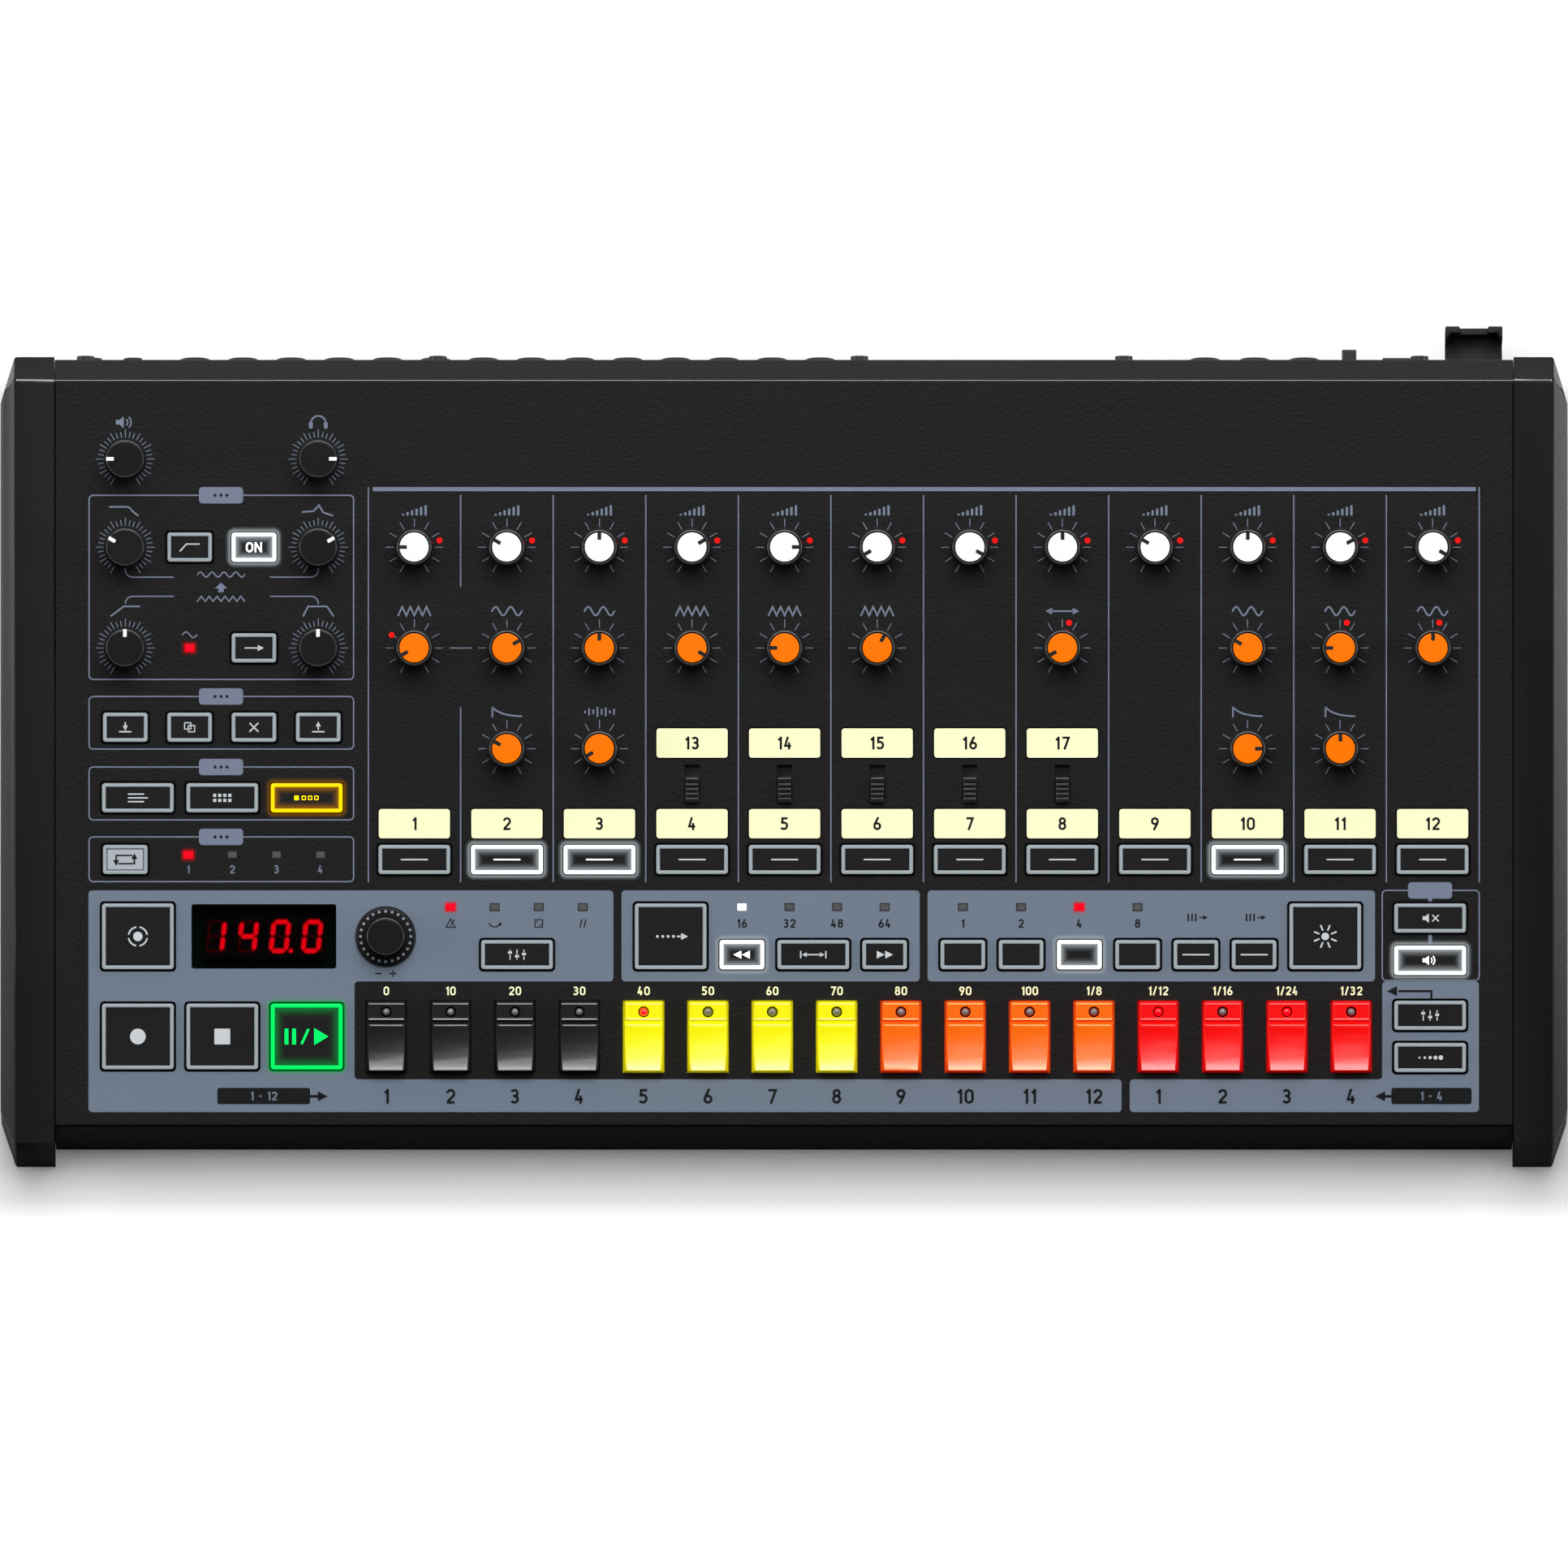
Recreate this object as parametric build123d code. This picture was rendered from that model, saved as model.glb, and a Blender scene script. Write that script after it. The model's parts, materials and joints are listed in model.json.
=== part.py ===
from build123d import *

import math
import os

# A tabletop drum machine: a sloping sheet-steel control panel between two moulded end cheeks,
# over a folded base tray whose rear wall carries the sockets.
#
# Frame: +X to the player's right, +Y away from the player, +Z up. The origin lies on the table,
# under the middle of the machine's box. Lengths are millimetres.
# Places on the panel are given as x, v, w: x as above, v up the slope from the front bend, and
# w out of the panel's face.

# ------------------------------------------------------------------ case
CASE_WIDTH = 498.0
PANEL_TILT = 7.0
PANEL_LENGTH = 237.0
PANEL_FRONT_HEIGHT = 36.0
PANEL_THICKNESS = 1.2
PANEL_BEND_RADIUS = 1.2
FRONT_LEAN_ANGLE = 6.6
REAR_FACET_RUN = 7.2
REAR_FACET_DROP = 4.2
REAR_FLANGE_HEIGHT = 10.5
FIT_GAP = 0.2
CUT_BEYOND = 1.0

TRAY_THICKNESS = 1.2
TRAY_FRONT_LIP = 14.0
TRAY_REAR_DROP = 3.0
FOOT_HEIGHT = 4.0
FOOT_RADIUS = 8.0
FOOT_FLARE = 1.0
FOOT_PEG_RADIUS = 2.5
FOOT_PEG_LENGTH = 3.0
FOOT_INSET_X = 30.0
FOOT_INSET_Y = 24.0

CHEEK_THICKNESS = 17.2
CHEEK_BEVEL_WIDTH = 4.6
CHEEK_BEVEL_REACH = 13.5
CHEEK_EDGE_RADIUS = 1.0
CHEEK_WALL = 3.0
CHEEK_FRONT_OVERHANG = 5.2
CHEEK_REAR_OVERHANG = 0.8
CHEEK_PROUD = 0.5
CHEEK_BOTTOM = 2.5
CHEEK_BOSS_RADIUS = 4.0
CHEEK_BOSS_PLACES = [(22.0, 18.0), (124.0, 26.0), (226.0, 26.0)]

SCREW_RADIUS = 1.45
SCREW_HOLE_RADIUS = 1.6
THREAD_FIT = 0.05
SCREW_HEAD_RADIUS = 2.8
SCREW_HEAD_HEIGHT = 1.8
SCREW_SLOT_LENGTH = 3.4
SCREW_SLOT_WIDTH = 0.7
CHEEK_SCREW_LENGTH = 9.0
PANEL_SCREW_LENGTH = 6.0
PANEL_SCREW_DROP = 6.8
PANEL_SCREW_XS = [-222.0, -110.0, 24.0, 108.0, 202.0]

# ------------------------------------------------------------------ boards
BOARD_DEPTH = 12.0
BOARD_THICKNESS = 1.6
BOARD_SIDE_GAP = 4.6
BOARD_FRONT_V = 5.0
BOARD_REAR_GAP = 11.0
SPACER_RADIUS = 2.5
SPACER_INSET = 4.0
SPACER_MIDDLE_V = 136.0
SPACER_CHANNEL_STEP = 3
SPACER_REAR_XS = [-178.0, -60.0, 60.0, 178.0]
SPACER_FRONT_XS = [-200.0, -100.0, 0.0, 100.0, 200.0]
JACK_BOARD_DEPTH = 31.0
JACK_BOARD_SIDE_GAP = 5.6

# ------------------------------------------------------------------ rotary controls
CHANNELS = 12
CHANNEL_PITCH = 29.4
FIRST_CHANNEL_X = -117.4
LEVEL_ROW_V = 184.0
KNOB_ROW_PITCH = 32.0
MASTER_ROW_V = 212.0
LEFT_COLUMN_X = -209.2
LEFT_COLUMN_PITCH = 20.43
TRANSPORT_ROW_V = 60.4
DATA_KNOB_X = -126.5

KNOB_GAP = 0.8
KNOB_TOP = 11.5
KNOB_SKIRT_RADIUS = 6.2
KNOB_SKIRT_TOP = 2.6
CAPPED_KNOB_TOP_RADIUS = 5.6
PLAIN_KNOB_TOP_RADIUS = 6.0
KNOB_EDGE = 0.4
KNOB_HUB_RADIUS = 3.6
KNOB_SHELL = 1.0
KNOB_CAVITY_TOP = 6.0
KNOB_CAP_RADIUS = 4.8
KNOB_CAP_THICKNESS = 0.8
KNOB_FIT = 0.05
POINTER_WIDTH = 1.1
POINTER_LENGTH = 2.5
POINTER_THICKNESS = 0.4
DATA_DISC_RADIUS = 9.6
DATA_DISC_TOP = 2.4
DATA_DISC_BEVEL = 0.9
SHAFT_RADIUS = 2.5
SHAFT_TOP = 9.5
SHAFT_FLAT_FROM_AXIS = 1.4
SHAFT_FLAT_BOTTOM = 1.5
SHAFT_FIT = 0.05
PANEL_SHAFT_HOLE_RADIUS = 3.2
POT_WIDTH = 9.6
POT_LENGTH = 10.6
POT_HEIGHT = 5.0
POT_CORNER = 0.8
POT_SOCKET_DEPTH = 1.0
POT_BUSHING_RADIUS = 3.5
POT_BUSHING_BELOW_PANEL = 0.5

# ------------------------------------------------------------------ buttons and keys
BUTTON_SMALL = (14.3, 9.4)
BUTTON_WIDE = (22.9, 9.4)
BUTTON_LARGE = (22.9, 21.0)
BUTTON_CORNER = 1.0
BUTTON_PROUD = 1.3
BUTTON_FRAME = 1.35
BUTTON_FACE_GAP = 0.2
BUTTON_FACE_THICKNESS = 0.7
BUTTON_FLANGE = 0.9
BUTTON_FLANGE_THICKNESS = 1.0
BUTTON_TRAVEL = 0.8
BUTTON_STEM_RADIUS = 1.8
CONTROL_GAP = 0.35
EDIT_ROW_V = 126.8
MODE_ROW_V = 104.4
MODE_COLUMN_X = -205.2
MODE_COLUMN_PITCH = 26.8
SELECT_ROW_V = 84.8
LOWER_BUTTON_ROW_V = 54.6
DATA_MODE_X = -84.8
SCROLL_X = -36.0
LENGTH_X = 9.3
LENGTH_SIDE_PITCH = 22.65
REPEAT_FIRST_X = 56.8
REPEAT_PITCH = 18.5
TRIGGER_X = 171.9
TRACK_X = 205.2
TRACK_ROWS_V = [66.2, 52.8, 35.3, 21.9]

KEY_COUNT = 16
KEY_PITCH = 20.43
FIRST_KEY_X = -126.3
KEY_ROW_V = 28.6
KEY_WIDTH = 12.5
KEY_LENGTH = 22.4
KEY_SIDE_BEVEL = 1.2
KEY_BEVEL_FROM = 1.0
KEY_LEDGE_HEIGHT = 3.4
KEY_LEDGE_LENGTH = 5.9
KEY_GROOVE_WIDTH = 1.5
KEY_GROOVE_DEPTH = 1.0
KEY_PAD_REAR_HEIGHT = 3.0
KEY_PAD_FRONT_HEIGHT = 5.2
KEY_PAD_SCOOP = 0.9
KEY_FRONT_DRAFT = 0.5
KEY_FLANGE = 0.9
KEY_FLANGE_THICKNESS = 1.0
KEY_TRAVEL = 1.5
KEY_LED_FROM_MIDDLE = 7.85
KEY_LED_HOLE_RADIUS = 1.75
KEY_SWITCH_FROM_MIDDLE = -2.0

SWITCH_BODY = 6.0
SWITCH_BODY_HEIGHT = 3.5
SWITCH_PLUNGER_RADIUS = 1.7
SWITCH_PLUNGER_TOP = 5.0
SWITCH_REST_GAP = 0.05

SLIDER_GRIP_WIDTH = 4.1
SLIDER_GRIP_LENGTH = 7.6
SLIDER_GRIP_TOP = 2.6
SLIDER_RIBS = 5
SLIDER_RIB_DEPTH = 0.5
SLIDER_TRAVEL = 4.0
SLIDER_SIDE_GAP = 0.35
SLIDER_END_GAP = 0.3
SLIDER_PLATE_MARGIN = 1.0
SLIDER_PLATE_THICKNESS = 0.8
SLIDER_STEM_WIDTH = 2.0
SLIDER_STEM_LENGTH = 3.0
SLIDE_ROW_V = 108.8
SLIDE_CHANNELS = range(3, 8)
SLIDE_BODY_WIDTH = 7.5
SLIDE_BODY_MARGIN = 2.5
SLIDE_BODY_HEIGHT = 6.5
SLIDE_STEM_DEPTH = 1.5
SLIDE_STEM_CLEARANCE = 1.0

# ------------------------------------------------------------------ lamps and display
LAMP_WIDTH = 2.9
LAMP_LENGTH = 2.3
LAMP_PROUD = 0.1
LAMP_FIT = 0.05
SIGNAL_LAMP_COLUMN = 1
SYNC_LAMP_X = -189.2
SYNC_LAMP_PITCH = 14.0
SYNC_LAMP_V = 86.3
UPPER_LAMP_V = 69.7
TEMPO_LAMP_X = -105.9
TEMPO_LAMP_PITCH = 14.0
LENGTH_LAMP_PITCH = 15.1
LED_RADIUS = 1.35
LED_TOP = 3.2

DISPLAY_X = -165.2
DISPLAY_WIDTH = 45.9
DISPLAY_LENGTH = 20.4
DISPLAY_CORNER = 0.8
WINDOW_THICKNESS = 2.0
WINDOW_PROUD = 0.2
WINDOW_FIT = 0.1
MODULE_WIDTH = 38.9
MODULE_LENGTH = 14.1
MODULE_BELOW_WINDOW = 0.2

# ------------------------------------------------------------------ rear sockets
SOCKET_AXIS_HEIGHT = 40.0
SOCKET_WALL_GAP = 0.1
JACK_PITCH = 15.29
JACK_FIRST_X = -187.3
JACK_COUNT = 14
TRIGGER_JACK_PITCH = 15.8
TRIGGER_JACK_FIRST_X = 133.9
TRIGGER_JACK_COUNT = 3
JACK_BODY = 12.0
JACK_BODY_DEPTH = 25.0
JACK_BUSHING_RADIUS = 4.3
JACK_BUSHING_REACH = 4.3
JACK_BORE_RADIUS = 3.2
JACK_BORE_DEPTH = 27.0
JACK_NUT_RADIUS = 5.3
JACK_NUT_THICKNESS = 4.1
JACK_NUT_EDGE = 0.6
JACK_NUT_FIT = 0.05
MINI_JACK_XS = [-219.9, -207.1]
MINI_BODY_WIDTH = 8.0
MINI_BODY_DEPTH = 12.0
MINI_BUSHING_RADIUS = 3.0
MINI_BUSHING_REACH = 4.4
MINI_BORE_RADIUS = 1.78
MINI_BORE_DEPTH = 14.0
HOLE_FIT = 0.15
MIDI_FIRST_X = 35.8
MIDI_PITCH = 24.5
MIDI_COUNT = 3
MIDI_BODY_WIDTH = 18.0
MIDI_BODY_DEPTH = 12.0
MIDI_FACE_RADIUS = 7.6
MIDI_FACE_REACH = 0.4
MIDI_RING_OUTER = 6.9
MIDI_RING_INNER = 5.9
MIDI_RING_DEPTH = 8.0
MIDI_PIN_CIRCLE = 3.5
MIDI_PIN_RADIUS = 0.75
MIDI_PIN_ANGLES = [0, 45, 90, 135, 180]
USB_X = 117.0
USB_WIDTH = 12.2
USB_HEIGHT = 11.0
USB_DEPTH = 16.0
USB_REACH = 3.6
USB_CAVITY = (8.6, 7.9)
USB_CAVITY_DEPTH = 10.0
USB_TONGUE = (5.6, 3.2)
USB_TONGUE_RECESS = 1.0
POWER_X = 195.0
POWER_WIDTH = 9.3
POWER_HEIGHT = 11.0
POWER_DEPTH = 13.0
POWER_REACH = 4.0
POWER_BORE_RADIUS = 3.1
POWER_BORE_DEPTH = 9.5
POWER_PIN_RADIUS = 1.0
POWER_PIN_RECESS = 1.5
ONOFF_X = 179.8
ONOFF_BODY_WIDTH = 13.6
ONOFF_BODY_HEIGHT = 8.0
ONOFF_BODY_DEPTH = 7.0
ONOFF_TRAVEL = 4.0
ONOFF_LEVER_WIDTH = 4.6
ONOFF_LEVER_HEIGHT = 3.2
ONOFF_LEVER_REACH = 7.4
ONOFF_LEVER_ROOT = 4.0
ONOFF_LEVER_CORNER = 0.6
ONOFF_SLOT_GAP = 0.3
HOOK_X = 219.5
HOOK_WIDTH = 18.2
HOOK_HEIGHT = 9.0
HOOK_REACH = 14.9
HOOK_PLATE = 2.0
HOOK_FLOOR = 2.0
HOOK_END = 2.2
HOOK_HORN = 5.0
HOOK_HORN_WIDTH = 4.6
HOOK_GUSSET_WIDTH = 1.7
HOOK_GUSSET_LENGTH = 2.3
HOOK_CENTRE_HEIGHT = 30.0

# ------------------------------------------------------------------ places worked out from the sizes
SIN = math.sin(math.radians(PANEL_TILT))
COS = math.cos(math.radians(PANEL_TILT))
LEAN = math.tan(math.radians(FRONT_LEAN_ANGLE))
BODY_WIDTH = CASE_WIDTH - 2 * (CHEEK_THICKNESS + FIT_GAP)
BODY_EDGE_X = BODY_WIDTH / 2
BOARD_HALF_WIDTH = BODY_EDGE_X - BOARD_SIDE_GAP
BOARD_REAR_V = PANEL_LENGTH - BOARD_REAR_GAP
JACK_BOARD_HALF_WIDTH = BODY_EDGE_X - JACK_BOARD_SIDE_GAP
CHEEK_INNER_X = BODY_EDGE_X + FIT_GAP
BOARD_TOP = -BOARD_DEPTH
PANEL_UNDER = -PANEL_THICKNESS

crease_height = PANEL_FRONT_HEIGHT - CHEEK_FRONT_OVERHANG * SIN + CHEEK_PROUD * COS
front_reach = CHEEK_FRONT_OVERHANG * COS + CHEEK_PROUD * SIN + (crease_height - CHEEK_BOTTOM) * LEAN
wall_behind_bend = PANEL_LENGTH * COS + REAR_FACET_RUN - PANEL_THICKNESS - FIT_GAP
BEND_Y = (front_reach - wall_behind_bend - HOOK_REACH) / 2
REAR_WALL_Y = BEND_Y + wall_behind_bend
PANEL_PLANE = Plane(origin=(0, BEND_Y, PANEL_FRONT_HEIGHT), x_dir=(1, 0, 0), z_dir=(0, -SIN, COS))


def along_panel(v, w=0.0):
    """(y, z) of a point v up the slope from the front bend and w out of the panel's face."""
    return BEND_Y + v * COS - w * SIN, PANEL_FRONT_HEIGHT + v * SIN + w * COS


def on_panel(x, v, w=0.0):
    """The place on the panel where a control stands, with its own +Z out of the panel."""
    return PANEL_PLANE.location * Pos(x, v, w)


def on_rear(x, z):
    """The place on the rear wall's outer face, with its own +Z out of the wall and +Y up."""
    return Plane(origin=(x, REAR_WALL_Y, z), x_dir=(-1, 0, 0), z_dir=(0, 1, 0)).location


def on_socket_board(x, height):
    """The place on the rear wall's outer face of a socket of this height that stands on its board."""
    return on_rear(x, SOCKET_AXIS_HEIGHT - JACK_BODY / 2 + height / 2)


def block(width, length, low, high, corner=0.0):
    """A block centred on its own Z axis, from low to high along it."""
    outline = RectangleRounded(width, length, corner) if corner else Rectangle(width, length)
    return Pos(0, 0, low) * extrude(outline, amount=high - low)


def disc(radius, low, high):
    """A round bar on its own Z axis, from low to high along it."""
    return Pos(0, 0, low) * extrude(Circle(radius), amount=high - low)


def ring(outer, inner, low, high):
    """A round tube on its own Z axis."""
    return Pos(0, 0, low) * extrude(Circle(outer) - Circle(inner), amount=high - low)


def turned(points):
    """A solid of revolution about Z from (radius, height) points."""
    outline = make_face(Polyline(*[(r, 0, h) for r, h in points], close=True))
    return revolve(outline, axis=Axis.Z)


def inset(points, distance):
    """The (y, z) points of an open line moved to its right by distance, with mitred corners."""
    moved = []
    normals = []
    for (y0, z0), (y1, z1) in zip(points, points[1:]):
        length = math.hypot(y1 - y0, z1 - z0)
        normals.append(((z1 - z0) / length, -(y1 - y0) / length))
    for i, (y, z) in enumerate(points):
        before = normals[max(i - 1, 0)]
        after = normals[min(i, len(normals) - 1)]
        share = distance / (1 + before[0] * after[0] + before[1] * after[1])
        moved.append((y + (before[0] + after[0]) * share, z + (before[1] + after[1]) * share))
    return moved


def inset_loop(points, distance):
    """The (y, z) points of a closed clockwise outline moved inwards by distance."""
    looped = [points[-1], *points, points[0]]
    return inset(looped, distance)[1:-1]


def slab(points, low_x, high_x):
    """A plate of the (y, z) outline, from low_x to high_x."""
    outline = make_face(Polyline(*[(low_x, y, z) for y, z in points], close=True))
    return extrude(outline, amount=high_x - low_x, dir=(1, 0, 0))


def folded_sheet(points, thickness, bend_radius):
    """Sheet steel folded along X: the outer line, rounded at its bends, and the inner line beside it."""
    inner = inset(points, thickness)
    x = -BODY_EDGE_X
    outer_line = FilletPolyline(*[(x, y, z) for y, z in points], radius=bend_radius)
    rest = Polyline(*[(x, y, z) for y, z in [points[-1], *reversed(inner), points[0]]])
    return extrude(make_face([outer_line, rest]), amount=BODY_WIDTH, dir=(1, 0, 0))


# ------------------------------------------------------------------ what stands where
def channel_x(channel):
    return FIRST_CHANNEL_X + channel * CHANNEL_PITCH


def left_x(column):
    return LEFT_COLUMN_X + column * LEFT_COLUMN_PITCH


def key_x(key):
    return FIRST_KEY_X + key * KEY_PITCH


TONE_ROW_V = LEVEL_ROW_V - KNOB_ROW_PITCH
DECAY_ROW_V = LEVEL_ROW_V - 2 * KNOB_ROW_PITCH

# name, place, where the pointer stands, in degrees clockwise from straight up
PLAIN_KNOBS = [
    ("master_knob", left_x(0), MASTER_ROW_V, -90),
    ("phones_knob", left_x(3), MASTER_ROW_V, 90),
    ("cutoff_knob", left_x(0), LEVEL_ROW_V, -60),
    ("resonance_knob", left_x(3), LEVEL_ROW_V, 60),
    ("attack_knob", left_x(0), TONE_ROW_V, 0),
    ("sustain_knob", left_x(3), TONE_ROW_V, 0),
]
LEVEL_POINTERS = [-90, -60, 0, 60, 90, -120, 120, 0, -60, 0, 60, 120]
LEVEL_KNOBS = [
    (f"level_knob_{i + 1:02d}", channel_x(i), LEVEL_ROW_V, turn) for i, turn in enumerate(LEVEL_POINTERS)
]
TONE_POINTERS = {0: -120, 1: 60, 2: 0, 3: 120, 4: -90, 5: 30, 7: -120, 9: -60, 10: -90, 11: 0}
DECAY_POINTERS = {1: -60, 2: -120, 9: 90, 10: 0}
TONE_KNOBS = [
    (f"tone_knob_{i + 1:02d}", channel_x(i), TONE_ROW_V, turn) for i, turn in TONE_POINTERS.items()
] + [(f"decay_knob_{i + 1:02d}", channel_x(i), DECAY_ROW_V, turn) for i, turn in DECAY_POINTERS.items()]
DATA_KNOB = ("data_knob", DATA_KNOB_X, TRANSPORT_ROW_V, 0)
ALL_KNOBS = PLAIN_KNOBS + LEVEL_KNOBS + TONE_KNOBS + [DATA_KNOB]

SELECT_BUTTONS = [(channel_x(i), SELECT_ROW_V, BUTTON_WIDE) for i in range(CHANNELS)]
SMALL_BUTTONS = (
    [(left_x(i), LEVEL_ROW_V, BUTTON_SMALL) for i in (1, 2)]
    + [(left_x(2), TONE_ROW_V, BUTTON_SMALL)]
    + [(left_x(i), EDIT_ROW_V, BUTTON_SMALL) for i in range(4)]
    + [(MODE_COLUMN_X + i * MODE_COLUMN_PITCH, MODE_ROW_V, BUTTON_WIDE) for i in range(3)]
    + [(left_x(0), SELECT_ROW_V, BUTTON_SMALL)]
    + [(DATA_MODE_X, LOWER_BUTTON_ROW_V, BUTTON_WIDE)]
    + [(LENGTH_X - LENGTH_SIDE_PITCH, LOWER_BUTTON_ROW_V, BUTTON_SMALL)]
    + [(LENGTH_X, LOWER_BUTTON_ROW_V, BUTTON_WIDE)]
    + [(LENGTH_X + LENGTH_SIDE_PITCH, LOWER_BUTTON_ROW_V, BUTTON_SMALL)]
    + [(REPEAT_FIRST_X + i * REPEAT_PITCH, LOWER_BUTTON_ROW_V, BUTTON_SMALL) for i in range(6)]
    + [(TRACK_X, v, BUTTON_WIDE) for v in TRACK_ROWS_V]
)
LARGE_BUTTONS = (
    [(MODE_COLUMN_X, TRANSPORT_ROW_V, BUTTON_LARGE)]
    + [(MODE_COLUMN_X + i * MODE_COLUMN_PITCH, KEY_ROW_V, BUTTON_LARGE) for i in range(3)]
    + [(x, TRANSPORT_ROW_V, BUTTON_LARGE) for x in (SCROLL_X, TRIGGER_X)]
)
ALL_BUTTONS = SELECT_BUTTONS + SMALL_BUTTONS + LARGE_BUTTONS

KEY_COLOURS = {"black": range(0, 4), "yellow": range(4, 8), "orange": range(8, 12), "red": range(12, 16)}

LAMPS = (
    [(left_x(SIGNAL_LAMP_COLUMN), TONE_ROW_V)]
    + [(SYNC_LAMP_X + i * SYNC_LAMP_PITCH, SYNC_LAMP_V) for i in range(4)]
    + [(TEMPO_LAMP_X + i * TEMPO_LAMP_PITCH, UPPER_LAMP_V) for i in range(4)]
    + [(LENGTH_X - LENGTH_SIDE_PITCH + i * LENGTH_LAMP_PITCH, UPPER_LAMP_V) for i in range(4)]
    + [(REPEAT_FIRST_X + i * REPEAT_PITCH, UPPER_LAMP_V) for i in range(4)]
)

SPACER_MIDDLE_XS = [channel_x(i) - CHANNEL_PITCH / 2 for i in range(0, CHANNELS, SPACER_CHANNEL_STEP)]
SPACERS = (
    [(x, BOARD_REAR_V - SPACER_INSET) for x in SPACER_REAR_XS]
    + [(x, SPACER_MIDDLE_V) for x in SPACER_MIDDLE_XS]
    + [(x, BOARD_FRONT_V + SPACER_INSET) for x in SPACER_FRONT_XS]
)
LINE_JACK_XS = [JACK_FIRST_X + i * JACK_PITCH for i in range(JACK_COUNT)]
TRIGGER_JACK_XS = [TRIGGER_JACK_FIRST_X + i * TRIGGER_JACK_PITCH for i in range(TRIGGER_JACK_COUNT)]
MIDI_XS = [MIDI_FIRST_X + i * MIDI_PITCH for i in range(MIDI_COUNT)]
SLIDE_SLOT_WIDTH = SLIDER_GRIP_WIDTH + 2 * SLIDER_SIDE_GAP
SLIDE_SLOT_LENGTH = SLIDER_GRIP_LENGTH + SLIDER_TRAVEL + 2 * SLIDER_END_GAP


# ------------------------------------------------------------------ case pieces
def panel_line():
    """The panel's outer line from its front foot over both bends to the end of its rear flange."""
    foot_z = FOOT_HEIGHT
    foot = (BEND_Y - (PANEL_FRONT_HEIGHT - foot_z) * LEAN, foot_z)
    rear_y, rear_z = along_panel(PANEL_LENGTH)
    edge = (rear_y + REAR_FACET_RUN, rear_z - REAR_FACET_DROP)
    return [foot, along_panel(0), (rear_y, rear_z), edge, (edge[0], edge[1] - REAR_FLANGE_HEIGHT)]


def top_panel():
    sheet = folded_sheet(panel_line(), PANEL_THICKNESS, PANEL_BEND_RADIUS)
    through = (PANEL_UNDER - CUT_BEYOND, CUT_BEYOND)
    cutters = [on_panel(x, v) * disc(PANEL_SHAFT_HOLE_RADIUS, *through) for _, x, v, _ in ALL_KNOBS]
    for x, v, (width, length) in ALL_BUTTONS:
        hole = block(width + 2 * CONTROL_GAP, length + 2 * CONTROL_GAP, *through, BUTTON_CORNER)
        cutters.append(on_panel(x, v) * hole)
    for key in range(KEY_COUNT):
        hole = block(KEY_WIDTH + 2 * CONTROL_GAP, KEY_LENGTH + 2 * CONTROL_GAP, *through)
        cutters.append(on_panel(key_x(key), KEY_ROW_V) * hole)
    slot = block(SLIDE_SLOT_WIDTH, SLIDE_SLOT_LENGTH, *through)
    cutters += [on_panel(channel_x(i), SLIDE_ROW_V) * slot for i in SLIDE_CHANNELS]
    lamp_hole = block(LAMP_WIDTH + 2 * LAMP_FIT, LAMP_LENGTH + 2 * LAMP_FIT, *through)
    cutters += [on_panel(x, v) * lamp_hole for x, v in LAMPS]
    cutters.append(
        on_panel(DISPLAY_X, TRANSPORT_ROW_V) * block(DISPLAY_WIDTH, DISPLAY_LENGTH, *through, DISPLAY_CORNER)
    )
    cutters += rear_screw_holes(SCREW_HOLE_RADIUS)
    return sheet - cutters


def rear_screw_holes(radius):
    """Holes through the panel's rear flange and the tray's rear wall."""
    hole = disc(radius, -TRAY_THICKNESS - CUT_BEYOND, PANEL_THICKNESS + FIT_GAP + CUT_BEYOND)
    return [on_rear(x, rear_screw_height()) * hole for x in PANEL_SCREW_XS]


def rear_screw_height():
    return panel_line()[3][1] - PANEL_SCREW_DROP


def tray_line():
    """The tray's outer line from the top of its front lip round the bottom to the top of its rear wall."""
    front, bend = panel_line()[:2]
    inner_front, inner_bend = inset(panel_line(), PANEL_THICKNESS + FIT_GAP)[:2]
    lip_y = inner_bend[0] - (inner_bend[1] - FOOT_HEIGHT) * LEAN
    top = (lip_y + TRAY_FRONT_LIP * LEAN, FOOT_HEIGHT + TRAY_FRONT_LIP)
    wall_top = panel_line()[3][1] - TRAY_REAR_DROP
    return [top, (lip_y, FOOT_HEIGHT), (REAR_WALL_Y, FOOT_HEIGHT), (REAR_WALL_Y, wall_top)]


def side_wall_outline():
    """The outline of the tray's side walls, which close the ends under the panel."""
    under = inset(panel_line()[:4], PANEL_THICKNESS + FIT_GAP)
    _, front, rear, wall_top = tray_line()
    rear_bend = under[2]
    return [front, under[1], rear_bend, wall_top, rear]


def feet_places():
    front_y, rear_y = tray_line()[1][0], tray_line()[2][0]
    xs = (-BODY_EDGE_X + FOOT_INSET_X, BODY_EDGE_X - FOOT_INSET_X)
    return [(x, y) for x in xs for y in (front_y + FOOT_INSET_Y, rear_y - FOOT_INSET_Y)]


def cheek_screw_places():
    """(y, z) of the screws that hold each cheek, measured from the cheek's front foot and bottom."""
    front_y = BEND_Y - front_reach
    return [(front_y + y, CHEEK_BOTTOM + z) for y, z in CHEEK_BOSS_PLACES]


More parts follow.
